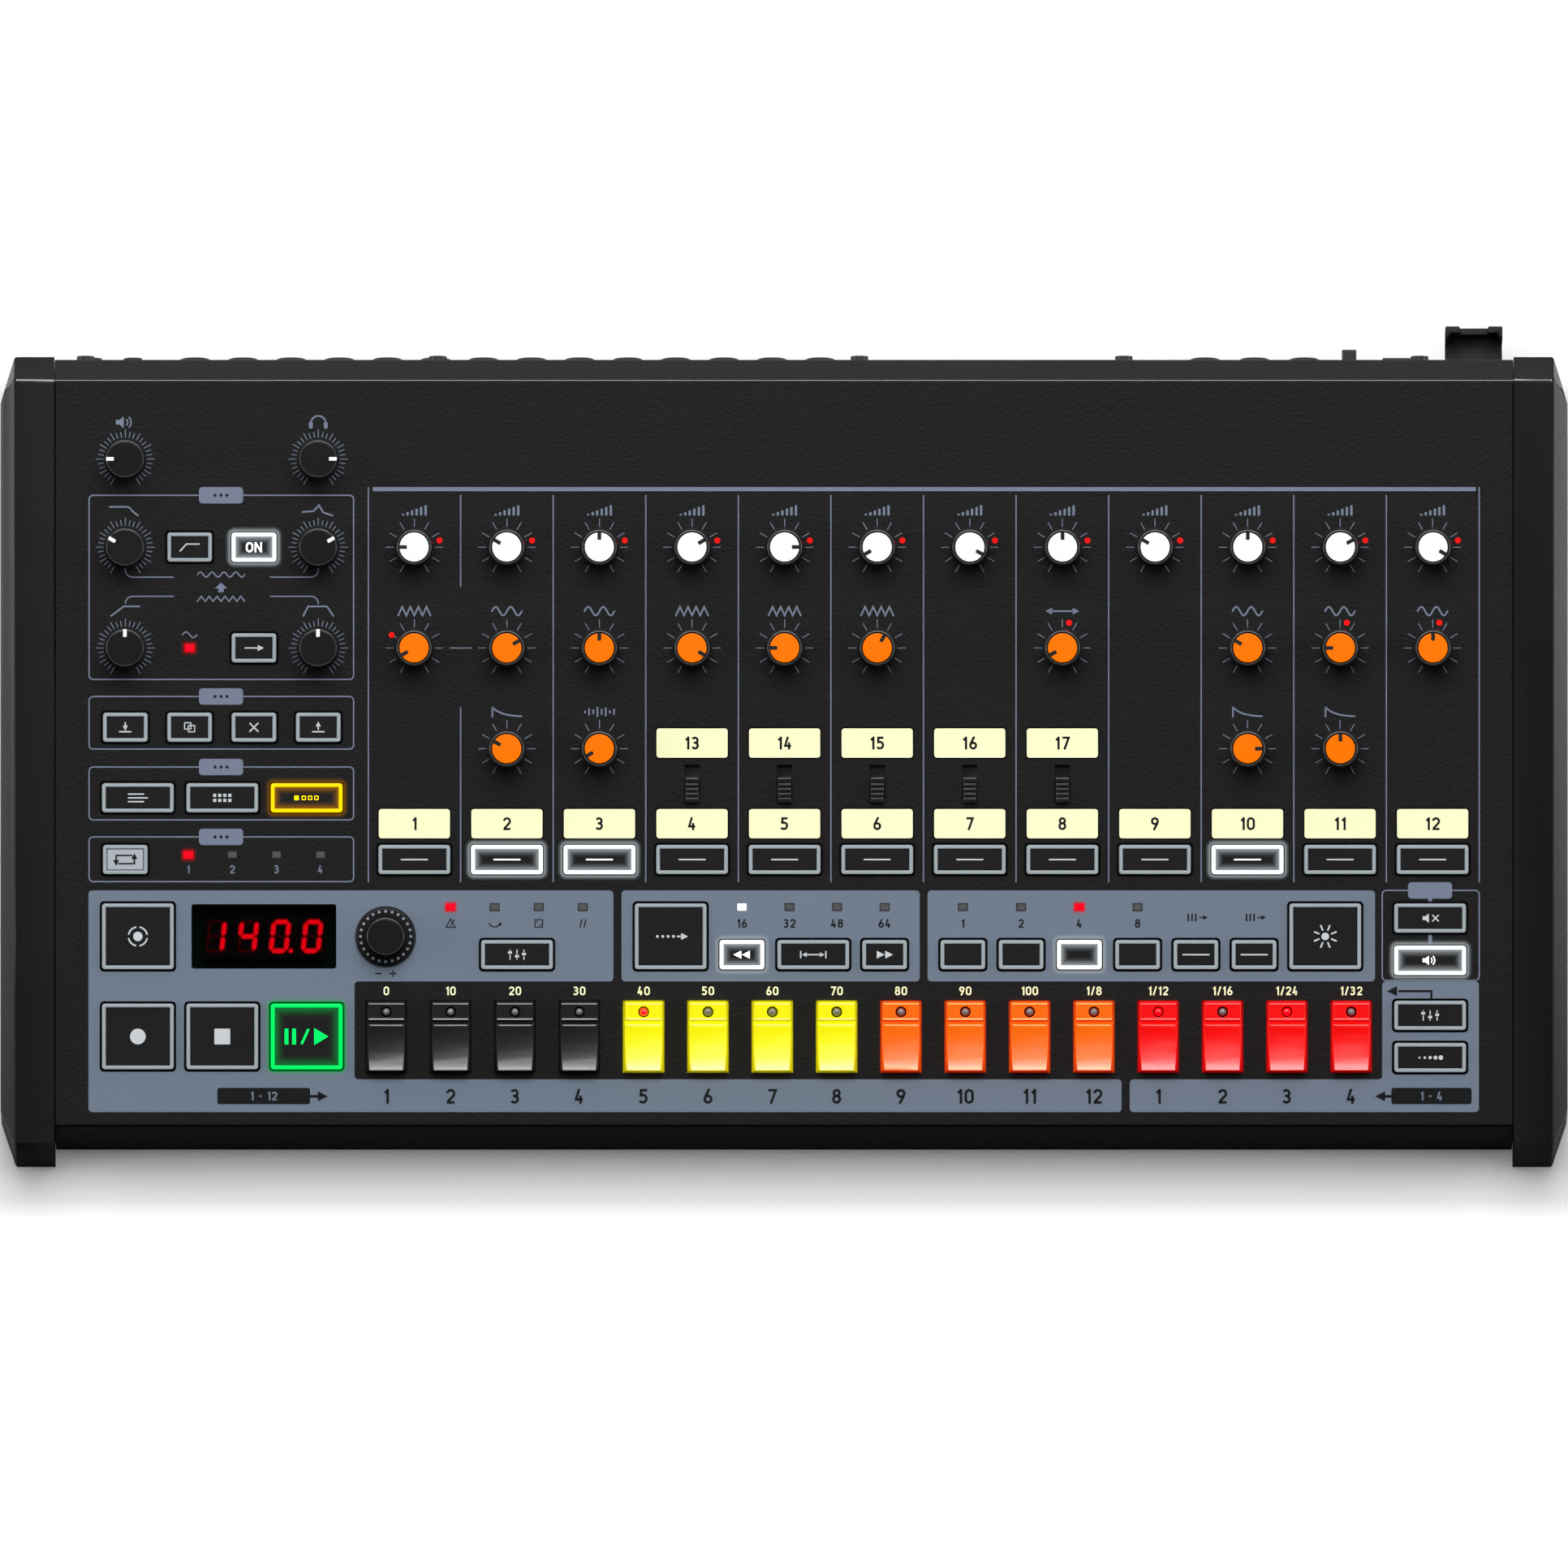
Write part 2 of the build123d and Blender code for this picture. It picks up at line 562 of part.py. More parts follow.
def base_tray():
    """The tray as plates that meet at their edges: front lip, floor, rear wall and two side walls."""
    outer = tray_line()
    inner = inset(outer, -TRAY_THICKNESS)
    inner_x = BODY_EDGE_X - TRAY_THICKNESS
    corners = list(zip(outer, inner))
    plates = [
        slab([outer_a, outer_b, inner_b, inner_a], -inner_x, inner_x)
        for (outer_a, inner_a), (outer_b, inner_b) in zip(corners, corners[1:])
    ]
    plates.append(slab(side_wall_outline(), -BODY_EDGE_X, -inner_x))
    plates.append(slab(side_wall_outline(), inner_x, BODY_EDGE_X))
    through = (-TRAY_THICKNESS - CUT_BEYOND, CUT_BEYOND)
    cutters = [on_rear(x, SOCKET_AXIS_HEIGHT) * disc(JACK_BUSHING_RADIUS + HOLE_FIT, *through)
               for x in LINE_JACK_XS + TRIGGER_JACK_XS]
    cutters += [on_rear(x, SOCKET_AXIS_HEIGHT) * disc(MINI_BUSHING_RADIUS + HOLE_FIT, *through)
                for x in MINI_JACK_XS]
    cutters += [on_rear(x, SOCKET_AXIS_HEIGHT) * disc(MIDI_FACE_RADIUS + HOLE_FIT, *through)
                for x in MIDI_XS]
    usb_hole = block(USB_WIDTH + 2 * HOLE_FIT, USB_HEIGHT + 2 * HOLE_FIT, *through)
    cutters.append(on_socket_board(USB_X, USB_HEIGHT) * usb_hole)
    power_hole = block(POWER_WIDTH + 2 * HOLE_FIT, POWER_HEIGHT + 2 * HOLE_FIT, *through)
    cutters.append(on_socket_board(POWER_X, POWER_HEIGHT) * power_hole)
    slot_width = ONOFF_LEVER_WIDTH + ONOFF_TRAVEL + 2 * ONOFF_SLOT_GAP
    onoff_slot = block(slot_width, ONOFF_LEVER_HEIGHT + 2 * ONOFF_SLOT_GAP, *through)
    cutters.append(on_socket_board(ONOFF_X + ONOFF_TRAVEL / 2, ONOFF_BODY_HEIGHT) * onoff_slot)
    cutters += rear_screw_holes(SCREW_RADIUS + THREAD_FIT)
    peg_ends = (FOOT_HEIGHT - CUT_BEYOND, FOOT_HEIGHT + TRAY_THICKNESS + CUT_BEYOND)
    peg_hole = disc(FOOT_PEG_RADIUS + HOLE_FIT, *peg_ends)
    cutters += [Pos(x, y, 0) * peg_hole for x, y in feet_places()]
    side = BODY_EDGE_X + CUT_BEYOND
    screw_hole = Rot(0, 90, 0) * disc(SCREW_HOLE_RADIUS, -side, side)
    cutters += [Pos(0, y, z) * screw_hole for y, z in cheek_screw_places()]
    return [plate - cutters for plate in plates]


def cheek_outline():
    crease = along_panel(-CHEEK_FRONT_OVERHANG, CHEEK_PROUD)
    foot = (crease[0] - (crease[1] - CHEEK_BOTTOM) * LEAN, CHEEK_BOTTOM)
    rear = along_panel(PANEL_LENGTH, CHEEK_PROUD)
    edge = (rear[0] + REAR_FACET_RUN + CHEEK_REAR_OVERHANG, rear[1] - REAR_FACET_DROP)
    return [foot, crease, rear, edge, (edge[0], CHEEK_BOTTOM)]


def bevel_cutter(start, end, inner_x, outer_x):
    """What a bevel removes along one straight edge of the cheek's outline, given as (y, z) ends."""
    length = math.hypot(end[0] - start[0], end[1] - start[1])
    along = ((end[0] - start[0]) / length, (end[1] - start[1]) / length)
    inward = (along[1], -along[0])
    rise = CUT_BEYOND * CHEEK_BEVEL_REACH / (outer_x - inner_x)
    beyond = 2 * CHEEK_BEVEL_REACH
    low_x, high_x = inner_x - CUT_BEYOND, outer_x + CUT_BEYOND
    corners = [(low_x, -rise), (high_x, CHEEK_BEVEL_REACH + rise), (high_x, -rise)]
    first_y = start[0] - along[0] * beyond
    first_z = start[1] - along[1] * beyond
    points = [(x, first_y + inward[0] * depth, first_z + inward[1] * depth) for x, depth in corners]
    return extrude(make_face(Polyline(*points, close=True)), amount=length + 2 * beyond, dir=(0, *along))


def right_cheek():
    """A moulded end cheek: bevelled round its outer face, hollow behind, with bosses for its screws."""
    outline = cheek_outline()
    outer_x = CHEEK_INNER_X + CHEEK_THICKNESS
    bevel_x = outer_x - CHEEK_BEVEL_WIDTH
    shell = slab(outline, CHEEK_INNER_X, outer_x)
    for start, end in zip(outline, outline[1:]):
        shell -= bevel_cutter(start, end, bevel_x, outer_x)
    outer_edges = shell.edges().filter_by_position(Axis.X, bevel_x - CUT_BEYOND, outer_x + CUT_BEYOND)
    shell = fillet(outer_edges, CHEEK_EDGE_RADIUS)
    floor_x = bevel_x - CHEEK_WALL
    shell -= slab(inset_loop(outline, CHEEK_WALL), CHEEK_INNER_X - CUT_BEYOND, floor_x)
    for y, z in cheek_screw_places():
        boss = Rot(0, 90, 0) * ring(CHEEK_BOSS_RADIUS, SCREW_RADIUS + THREAD_FIT, CHEEK_INNER_X, floor_x)
        shell += Pos(0, y, z) * boss
    return shell


def rubber_feet():
    base = (Align.CENTER, Align.CENTER, Align.MIN)
    foot = Cone(FOOT_RADIUS - FOOT_FLARE, FOOT_RADIUS, FOOT_HEIGHT, align=base)
    foot += disc(FOOT_PEG_RADIUS, 0, FOOT_HEIGHT + FOOT_PEG_LENGTH)
    return [Pos(x, y, 0) * foot for x, y in feet_places()]


def screw(length):
    """A pan-head screw: its head above Z 0 and its shank below."""
    body = disc(SCREW_HEAD_RADIUS, 0, SCREW_HEAD_HEIGHT) + disc(SCREW_RADIUS, -length, 0)
    cross = Box(SCREW_SLOT_LENGTH, SCREW_SLOT_WIDTH, SCREW_HEAD_HEIGHT)
    cross += Box(SCREW_SLOT_WIDTH, SCREW_SLOT_LENGTH, SCREW_HEAD_HEIGHT)
    return body - Pos(0, 0, SCREW_HEAD_HEIGHT) * cross


def case_screws():
    """The panel's rear screws, the cheeks' screws from inside, and the pillars and screws of the board."""
    pieces = [
        on_rear(x, rear_screw_height()) * Pos(0, 0, PANEL_THICKNESS + FIT_GAP) * screw(PANEL_SCREW_LENGTH)
        for x in PANEL_SCREW_XS
    ]
    inner_x = BODY_EDGE_X - TRAY_THICKNESS
    for y, z in cheek_screw_places():
        pieces.append(Pos(inner_x, y, z) * Rot(0, -90, 0) * screw(CHEEK_SCREW_LENGTH))
        pieces.append(Pos(-inner_x, y, z) * Rot(0, 90, 0) * screw(CHEEK_SCREW_LENGTH))
    under_board = BOARD_TOP - BOARD_THICKNESS
    thread = disc(SCREW_RADIUS + THREAD_FIT, BOARD_TOP, BOARD_TOP + PANEL_SCREW_LENGTH)
    pillar = disc(SPACER_RADIUS, BOARD_TOP, PANEL_UNDER) - thread
    for x, v in SPACERS:
        pieces.append(on_panel(x, v) * pillar)
        pieces.append(on_panel(x, v, under_board) * Rot(180, 0, 0) * screw(PANEL_SCREW_LENGTH))
    return pieces


# ------------------------------------------------------------------ boards and what is soldered to them
def circuit_boards():
    """The control board under the panel and the socket board along the rear wall."""
    length = BOARD_REAR_V - BOARD_FRONT_V
    middle_v = (BOARD_REAR_V + BOARD_FRONT_V) / 2
    board = block(2 * BOARD_HALF_WIDTH, length, BOARD_TOP - BOARD_THICKNESS, BOARD_TOP)
    board = on_panel(0, middle_v) * board
    hole_ends = (BOARD_TOP - BOARD_THICKNESS - CUT_BEYOND, BOARD_TOP + CUT_BEYOND)
    screw_hole = disc(SCREW_HOLE_RADIUS, *hole_ends)
    board -= [on_panel(x, v) * screw_hole for x, v in SPACERS]
    board_z = SOCKET_AXIS_HEIGHT - JACK_BODY / 2
    rear_y = REAR_WALL_Y - TRAY_THICKNESS - SOCKET_WALL_GAP
    rear_board = Box(
        2 * JACK_BOARD_HALF_WIDTH,
        JACK_BOARD_DEPTH,
        BOARD_THICKNESS,
        align=(Align.CENTER, Align.MAX, Align.MAX),
    )
    return [board, Pos(0, rear_y, board_z) * rear_board]


def pot_bodies():
    """One potentiometer, or the data encoder, under each knob, with the bushing that its shaft turns in."""
    top = BOARD_TOP + POT_HEIGHT
    bushing_top = PANEL_UNDER - POT_BUSHING_BELOW_PANEL
    pot = block(POT_WIDTH, POT_LENGTH, BOARD_TOP, top, POT_CORNER)
    pot += disc(POT_BUSHING_RADIUS, top, bushing_top)
    pot -= disc(SHAFT_RADIUS + SHAFT_FIT, top - POT_SOCKET_DEPTH, bushing_top)
    return [on_panel(x, v) * pot for _, x, v, _ in ALL_KNOBS]


def button_switch_places():
    places = [(x, v) for x, v, _ in ALL_BUTTONS]
    return places + [(key_x(key), KEY_ROW_V + KEY_SWITCH_FROM_MIDDLE) for key in range(KEY_COUNT)]


def switch_bodies():
    """The tactile switches under the buttons and keys, and the bodies of the five slide switches."""
    tactile = block(SWITCH_BODY, SWITCH_BODY, BOARD_TOP, BOARD_TOP + SWITCH_BODY_HEIGHT)
    tactile += disc(SWITCH_PLUNGER_RADIUS, BOARD_TOP + SWITCH_BODY_HEIGHT, BOARD_TOP + SWITCH_PLUNGER_TOP)
    pieces = [on_panel(x, v) * tactile for x, v in button_switch_places()]
    top = BOARD_TOP + SLIDE_BODY_HEIGHT
    body = block(SLIDE_BODY_WIDTH, SLIDE_SLOT_LENGTH + 2 * SLIDE_BODY_MARGIN, BOARD_TOP, top)
    stem_slot = SLIDER_STEM_LENGTH + SLIDER_TRAVEL + 2 * SLIDER_END_GAP
    slot_low = top - SLIDE_STEM_DEPTH - SLIDE_STEM_CLEARANCE
    body -= block(SLIDER_STEM_WIDTH + 2 * SLIDER_END_GAP, stem_slot, slot_low, top)
    return pieces + [on_panel(channel_x(i), SLIDE_ROW_V) * body for i in SLIDE_CHANNELS]


def panel_lamps():
    """The square lamps of the panel and the round lamps that show through the step keys."""
    lamp = block(LAMP_WIDTH, LAMP_LENGTH, BOARD_TOP, LAMP_PROUD)
    pieces = [on_panel(x, v) * lamp for x, v in LAMPS]
    led = disc(LED_RADIUS, BOARD_TOP, LED_TOP - LED_RADIUS)
    led += Pos(0, 0, LED_TOP - LED_RADIUS) * Sphere(LED_RADIUS)
    return pieces + [on_panel(key_x(i), KEY_ROW_V + KEY_LED_FROM_MIDDLE) * led for i in range(KEY_COUNT)]


def display_window():
    low = WINDOW_PROUD - WINDOW_THICKNESS
    pane = block(
        DISPLAY_WIDTH - 2 * WINDOW_FIT, DISPLAY_LENGTH - 2 * WINDOW_FIT, low, WINDOW_PROUD, DISPLAY_CORNER
    )
    return on_panel(DISPLAY_X, TRANSPORT_ROW_V) * pane


def display_module():
    top = WINDOW_PROUD - WINDOW_THICKNESS - MODULE_BELOW_WINDOW
    return on_panel(DISPLAY_X, TRANSPORT_ROW_V) * block(MODULE_WIDTH, MODULE_LENGTH, BOARD_TOP, top)


# ------------------------------------------------------------------ rear sockets
def audio_jacks():
    """Seventeen quarter-inch jacks with their nuts, and two miniature jacks."""
    inside = -TRAY_THICKNESS - SOCKET_WALL_GAP
    jack = block(JACK_BODY, JACK_BODY, inside - JACK_BODY_DEPTH, inside)
    jack += disc(JACK_BUSHING_RADIUS, inside, JACK_BUSHING_REACH)
    jack -= disc(JACK_BORE_RADIUS, JACK_BUSHING_REACH - JACK_BORE_DEPTH, JACK_BUSHING_REACH)
    edge = JACK_NUT_EDGE
    nut_inner = JACK_BUSHING_RADIUS + JACK_NUT_FIT
    nut = turned([
        (nut_inner, JACK_NUT_FIT),
        (JACK_NUT_RADIUS, JACK_NUT_FIT),
        (JACK_NUT_RADIUS, JACK_NUT_THICKNESS - edge),
        (JACK_NUT_RADIUS - edge, JACK_NUT_THICKNESS),
        (nut_inner, JACK_NUT_THICKNESS),
    ])
    mini_shift = (JACK_BODY - MINI_BODY_WIDTH) / 2
    mini = block(MINI_BODY_WIDTH, JACK_BODY, inside - MINI_BODY_DEPTH, inside)
    mini += disc(MINI_BUSHING_RADIUS, inside, MINI_BUSHING_REACH)
    mini -= disc(MINI_BORE_RADIUS, MINI_BUSHING_REACH - MINI_BORE_DEPTH, MINI_BUSHING_REACH)
    pieces = []
    for x in LINE_JACK_XS + TRIGGER_JACK_XS:
        pieces += [on_rear(x, SOCKET_AXIS_HEIGHT) * jack, on_rear(x, SOCKET_AXIS_HEIGHT) * nut]
    return pieces + [on_rear(x, SOCKET_AXIS_HEIGHT) * mini for x in MINI_JACK_XS]


def midi_sockets():
    """Round five-pin sockets: a core with pin holes inside a ring-shaped groove."""
    inside = -TRAY_THICKNESS - SOCKET_WALL_GAP
    socket = Pos(0, MIDI_BODY_WIDTH / 2 - JACK_BODY / 2, 0) * block(
        MIDI_BODY_WIDTH, MIDI_BODY_WIDTH, inside - MIDI_BODY_DEPTH, inside
    )
    socket += disc(MIDI_FACE_RADIUS, inside, MIDI_FACE_REACH)
    socket -= ring(MIDI_RING_OUTER, MIDI_RING_INNER, MIDI_FACE_REACH - MIDI_RING_DEPTH, MIDI_FACE_REACH)
    for angle in MIDI_PIN_ANGLES:
        along = math.radians(angle)
        place = Pos(MIDI_PIN_CIRCLE * math.cos(along), MIDI_PIN_CIRCLE * math.sin(along), 0)
        socket -= place * disc(MIDI_PIN_RADIUS, MIDI_FACE_REACH - MIDI_RING_DEPTH, MIDI_FACE_REACH)
    return [on_rear(x, SOCKET_AXIS_HEIGHT) * socket for x in MIDI_XS]


def usb_socket():
    low = USB_REACH - USB_DEPTH
    socket = block(USB_WIDTH, USB_HEIGHT, low, USB_REACH)
    mouth = (USB_REACH - USB_CAVITY_DEPTH, USB_REACH)
    socket -= block(*USB_CAVITY, *mouth) - block(*USB_TONGUE, mouth[0], USB_REACH - USB_TONGUE_RECESS)
    return on_socket_board(USB_X, USB_HEIGHT) * socket


def power_inlet():
    low = POWER_REACH - POWER_DEPTH
    socket = block(POWER_WIDTH, POWER_HEIGHT, low, POWER_REACH)
    mouth = (POWER_REACH - POWER_BORE_DEPTH, POWER_REACH)
    socket -= ring(POWER_BORE_RADIUS, POWER_PIN_RADIUS, *mouth)
    socket -= disc(POWER_BORE_RADIUS, POWER_REACH - POWER_PIN_RECESS, POWER_REACH)
    return on_socket_board(POWER_X, POWER_HEIGHT) * socket


def power_switch_body():
    inside = -TRAY_THICKNESS - SOCKET_WALL_GAP
    body = block(ONOFF_BODY_WIDTH, ONOFF_BODY_HEIGHT, inside - ONOFF_BODY_DEPTH, inside)
    slot_width = ONOFF_LEVER_WIDTH + ONOFF_TRAVEL + 2 * ONOFF_SLOT_GAP
    slot_height = ONOFF_LEVER_HEIGHT + 2 * ONOFF_SLOT_GAP
    slot = block(slot_width, slot_height, inside - ONOFF_LEVER_ROOT - ONOFF_SLOT_GAP, inside)
    return on_socket_board(ONOFF_X + ONOFF_TRAVEL / 2, ONOFF_BODY_HEIGHT) * (body - slot)


def power_switch_lever():
    inside = -TRAY_THICKNESS - SOCKET_WALL_GAP
    ends = (inside - ONOFF_LEVER_ROOT, ONOFF_LEVER_REACH)
    lever = block(ONOFF_LEVER_WIDTH, ONOFF_LEVER_HEIGHT, *ends, ONOFF_LEVER_CORNER)
    return on_socket_board(ONOFF_X, ONOFF_BODY_HEIGHT) * lever


def cable_hook():
    """A hook for the power lead: a back plate, a floor, and an end wall with a gusseted horn at each side."""
    end_from = HOOK_REACH - HOOK_END
    low = -HOOK_HEIGHT / 2
    floor_middle = low + HOOK_FLOOR / 2
    hook = block(HOOK_WIDTH, HOOK_HEIGHT, 0, HOOK_PLATE)
    hook += block(HOOK_WIDTH, HOOK_HEIGHT, end_from, HOOK_REACH)
    hook += Pos(0, floor_middle, 0) * block(HOOK_WIDTH, HOOK_FLOOR, HOOK_PLATE, end_from)
    half = HOOK_WIDTH / 2
    horn_from = half - HOOK_HORN_WIDTH
    plan = [
        (half, HOOK_REACH),
        (horn_from, HOOK_REACH),
        (horn_from, end_from),
        (half - HOOK_GUSSET_WIDTH, end_from),
        (half, end_from - HOOK_GUSSET_LENGTH),
    ]
    outline = make_face(Polyline(*[(x, floor_middle, z) for x, z in plan], close=True))
    horn = extrude(outline, amount=HOOK_HEIGHT / 2 + HOOK_HORN - floor_middle, dir=(0, 1, 0))
    hook += [horn, mirror(horn, about=Plane.YZ)]
    return on_rear(HOOK_X, HOOK_CENTRE_HEIGHT) * hook


# ------------------------------------------------------------------ moving pieces
def beyond_flat(radius, flat_from_axis, low, high):
    """The part of a round bar that lies beyond a flat on its +Y side."""
    side = Pos(0, flat_from_axis + radius, 0) * block(2 * radius, 2 * radius, low, high)
    return disc(radius, low, high) & side


def knob_body(top_radius, recess_radius, recess_depth):
    """A hollow knob with a hub for the shaft and, if it has a cap, a recess for it in the top."""
    bore = SHAFT_RADIUS + KNOB_FIT
    shell_inner = KNOB_SKIRT_RADIUS - KNOB_SHELL
    points = [
        (bore, KNOB_GAP),
        (KNOB_HUB_RADIUS, KNOB_GAP),
        (KNOB_HUB_RADIUS, KNOB_CAVITY_TOP),
        (top_radius - KNOB_SHELL, KNOB_CAVITY_TOP),
        (shell_inner, KNOB_SKIRT_TOP),
        (shell_inner, KNOB_GAP),
        (KNOB_SKIRT_RADIUS, KNOB_GAP),
        (KNOB_SKIRT_RADIUS, KNOB_SKIRT_TOP),
        (top_radius, KNOB_SKIRT_TOP + KNOB_SKIRT_RADIUS - top_radius + KNOB_EDGE),
        (top_radius, KNOB_TOP - KNOB_EDGE),
        (top_radius - KNOB_EDGE, KNOB_TOP),
    ]
    if recess_depth:
        points += [(recess_radius, KNOB_TOP), (recess_radius, KNOB_TOP - recess_depth)]
        points += [(0, KNOB_TOP - recess_depth)]
    else:
        points += [(0, KNOB_TOP)]
    bore_top = SHAFT_TOP + KNOB_FIT
    points += [(0, bore_top), (bore, bore_top)]
    flat_bottom = SHAFT_FLAT_BOTTOM + KNOB_FIT
    return turned(points) + beyond_flat(bore, SHAFT_FLAT_FROM_AXIS + KNOB_FIT, flat_bottom, bore_top)


def shaft():
    """The control's shaft, with a flat that drives the knob."""
    bar = disc(SHAFT_RADIUS, BOARD_TOP + POT_HEIGHT, SHAFT_TOP)
    return bar - beyond_flat(SHAFT_RADIUS, SHAFT_FLAT_FROM_AXIS, SHAFT_FLAT_BOTTOM, SHAFT_TOP)


def pointer_bar(outer_radius, low, high):
    """A radial bar under the pointer mark, from near the rim inwards."""
    middle = outer_radius - POINTER_LENGTH / 2
    return Pos(0, middle, 0) * block(POINTER_WIDTH, POINTER_LENGTH, low, high)


def capped_knob():
    """A knob with a coloured cap disc, whose notch is filled by the body's own pointer rib."""
    low = KNOB_TOP - KNOB_CAP_THICKNESS
    recess = KNOB_CAP_RADIUS + KNOB_FIT
    body = knob_body(CAPPED_KNOB_TOP_RADIUS, recess, KNOB_CAP_THICKNESS)
    body += pointer_bar(recess, low, KNOB_TOP) & disc(CAPPED_KNOB_TOP_RADIUS - KNOB_EDGE, low, KNOB_TOP)
    notch = Pos(0, KNOB_CAP_RADIUS - POINTER_LENGTH / 2, 0) * block(
        POINTER_WIDTH + 2 * KNOB_FIT, POINTER_LENGTH + 2 * KNOB_FIT, low, KNOB_TOP
    )
    cap = disc(KNOB_CAP_RADIUS, low, KNOB_TOP) - notch
    return [body, cap, shaft()]


def plain_knob():
    """A black knob; the pointer is a light bar set into the top's edge."""
    body = knob_body(PLAIN_KNOB_TOP_RADIUS, 0, 0)
    mark = pointer_bar(PLAIN_KNOB_TOP_RADIUS - KNOB_EDGE, KNOB_TOP - POINTER_THICKNESS, KNOB_TOP)
    return [body - mark, mark, shaft()]


def data_knob():
    """The data knob: a black knob without a pointer that stands on a broad bevelled disc."""
    inner = KNOB_SKIRT_RADIUS - KNOB_SHELL
    disc_section = turned([
        (inner, KNOB_GAP),
        (DATA_DISC_RADIUS, KNOB_GAP),
        (DATA_DISC_RADIUS, DATA_DISC_TOP - DATA_DISC_BEVEL),
        (DATA_DISC_RADIUS - DATA_DISC_BEVEL, DATA_DISC_TOP),
        (inner, DATA_DISC_TOP),
    ])
    return [knob_body(PLAIN_KNOB_TOP_RADIUS, 0, 0) + disc_section, shaft()]


def placed_knob(pieces, x, v, turn):
    """The knob's pieces where they stand, turned clockwise so that the pointer shows its value."""
    return [on_panel(x, v) * Rot(0, 0, -turn) * piece for piece in pieces]


def button_pieces(width, length):
    """A translucent cap with a flange behind the panel and a stem over its switch, and a dark face plate."""
    flange_top = PANEL_UNDER - FIT_GAP
    flange_low = flange_top - BUTTON_FLANGE_THICKNESS
    flange = 2 * (CONTROL_GAP + BUTTON_FLANGE)
    cap = block(width, length, flange_low, BUTTON_PROUD, BUTTON_CORNER)
    cap += block(width + flange, length + flange, flange_low, flange_top)
    stem_bottom = BOARD_TOP + SWITCH_PLUNGER_TOP + BUTTON_TRAVEL + SWITCH_REST_GAP
    cap += disc(BUTTON_STEM_RADIUS, stem_bottom, flange_low)
    pocket_width, pocket_length = width - 2 * BUTTON_FRAME, length - 2 * BUTTON_FRAME
    floor = BUTTON_PROUD - BUTTON_FACE_THICKNESS
    cap -= block(pocket_width, pocket_length, floor, BUTTON_PROUD)
    gap = 2 * BUTTON_FACE_GAP
    return [cap, block(pocket_width - gap, pocket_length - gap, floor, BUTTON_PROUD)]


def button_group(places):
    made = {size: button_pieces(*size) for size in {size for _, _, size in places}}
    return [on_panel(x, v) * piece for x, v, size in places for piece in made[size]]


def step_key():
    """A key with a flat ledge round its lamp, a groove, and a scooped pad that rises to the front."""
    flange_top = PANEL_UNDER - FIT_GAP
    flange_low = flange_top - KEY_FLANGE_THICKNESS
    rear = KEY_LENGTH / 2
    ledge_front = rear - KEY_LEDGE_LENGTH
    pad_rear = ledge_front - KEY_GROOVE_WIDTH
    pad_front = -rear + KEY_FRONT_DRAFT
    groove = min(KEY_LEDGE_HEIGHT, KEY_PAD_REAR_HEIGHT) - KEY_GROOVE_DEPTH
    middle = (pad_rear + pad_front) / 2
    scoop = (KEY_PAD_REAR_HEIGHT + KEY_PAD_FRONT_HEIGHT) / 2 - KEY_PAD_SCOOP
    pad = ThreePointArc(
        (0, pad_rear, KEY_PAD_REAR_HEIGHT), (0, middle, scoop), (0, pad_front, KEY_PAD_FRONT_HEIGHT)
    )
    line = Polyline(
        (0, pad_front, KEY_PAD_FRONT_HEIGHT),
        (0, -rear, flange_low),
        (0, rear, flange_low),
        (0, rear, KEY_LEDGE_HEIGHT),
        (0, ledge_front, KEY_LEDGE_HEIGHT),
        (0, ledge_front, groove),
        (0, pad_rear, groove),
        (0, pad_rear, KEY_PAD_REAR_HEIGHT),
    )
    side = Pos(-KEY_WIDTH / 2, 0, 0) * extrude(make_face([pad, line]), amount=KEY_WIDTH, dir=(1, 0, 0))
    half, top = KEY_WIDTH / 2, max(KEY_LEDGE_HEIGHT, KEY_PAD_FRONT_HEIGHT) + CUT_BEYOND
    narrow = half - KEY_SIDE_BEVEL
    front = make_face(Polyline(
        (-half, -rear, flange_low), (half, -rear, flange_low), (half, -rear, KEY_BEVEL_FROM),
        (narrow, -rear, top), (-narrow, -rear, top), (-half, -rear, KEY_BEVEL_FROM), close=True,
    ))
    key = side & extrude(front, amount=KEY_LENGTH, dir=(0, 1, 0))
    flange = 2 * (CONTROL_GAP + KEY_FLANGE)
    key += block(KEY_WIDTH + flange, KEY_LENGTH + flange, flange_low, flange_top)
    stem_bottom = BOARD_TOP + SWITCH_PLUNGER_TOP + KEY_TRAVEL + SWITCH_REST_GAP
    key += Pos(0, KEY_SWITCH_FROM_MIDDLE, 0) * disc(BUTTON_STEM_RADIUS, stem_bottom, flange_low)
    return key - Pos(0, KEY_LED_FROM_MIDDLE, 0) * disc(KEY_LED_HOLE_RADIUS, flange_low - CUT_BEYOND, top)


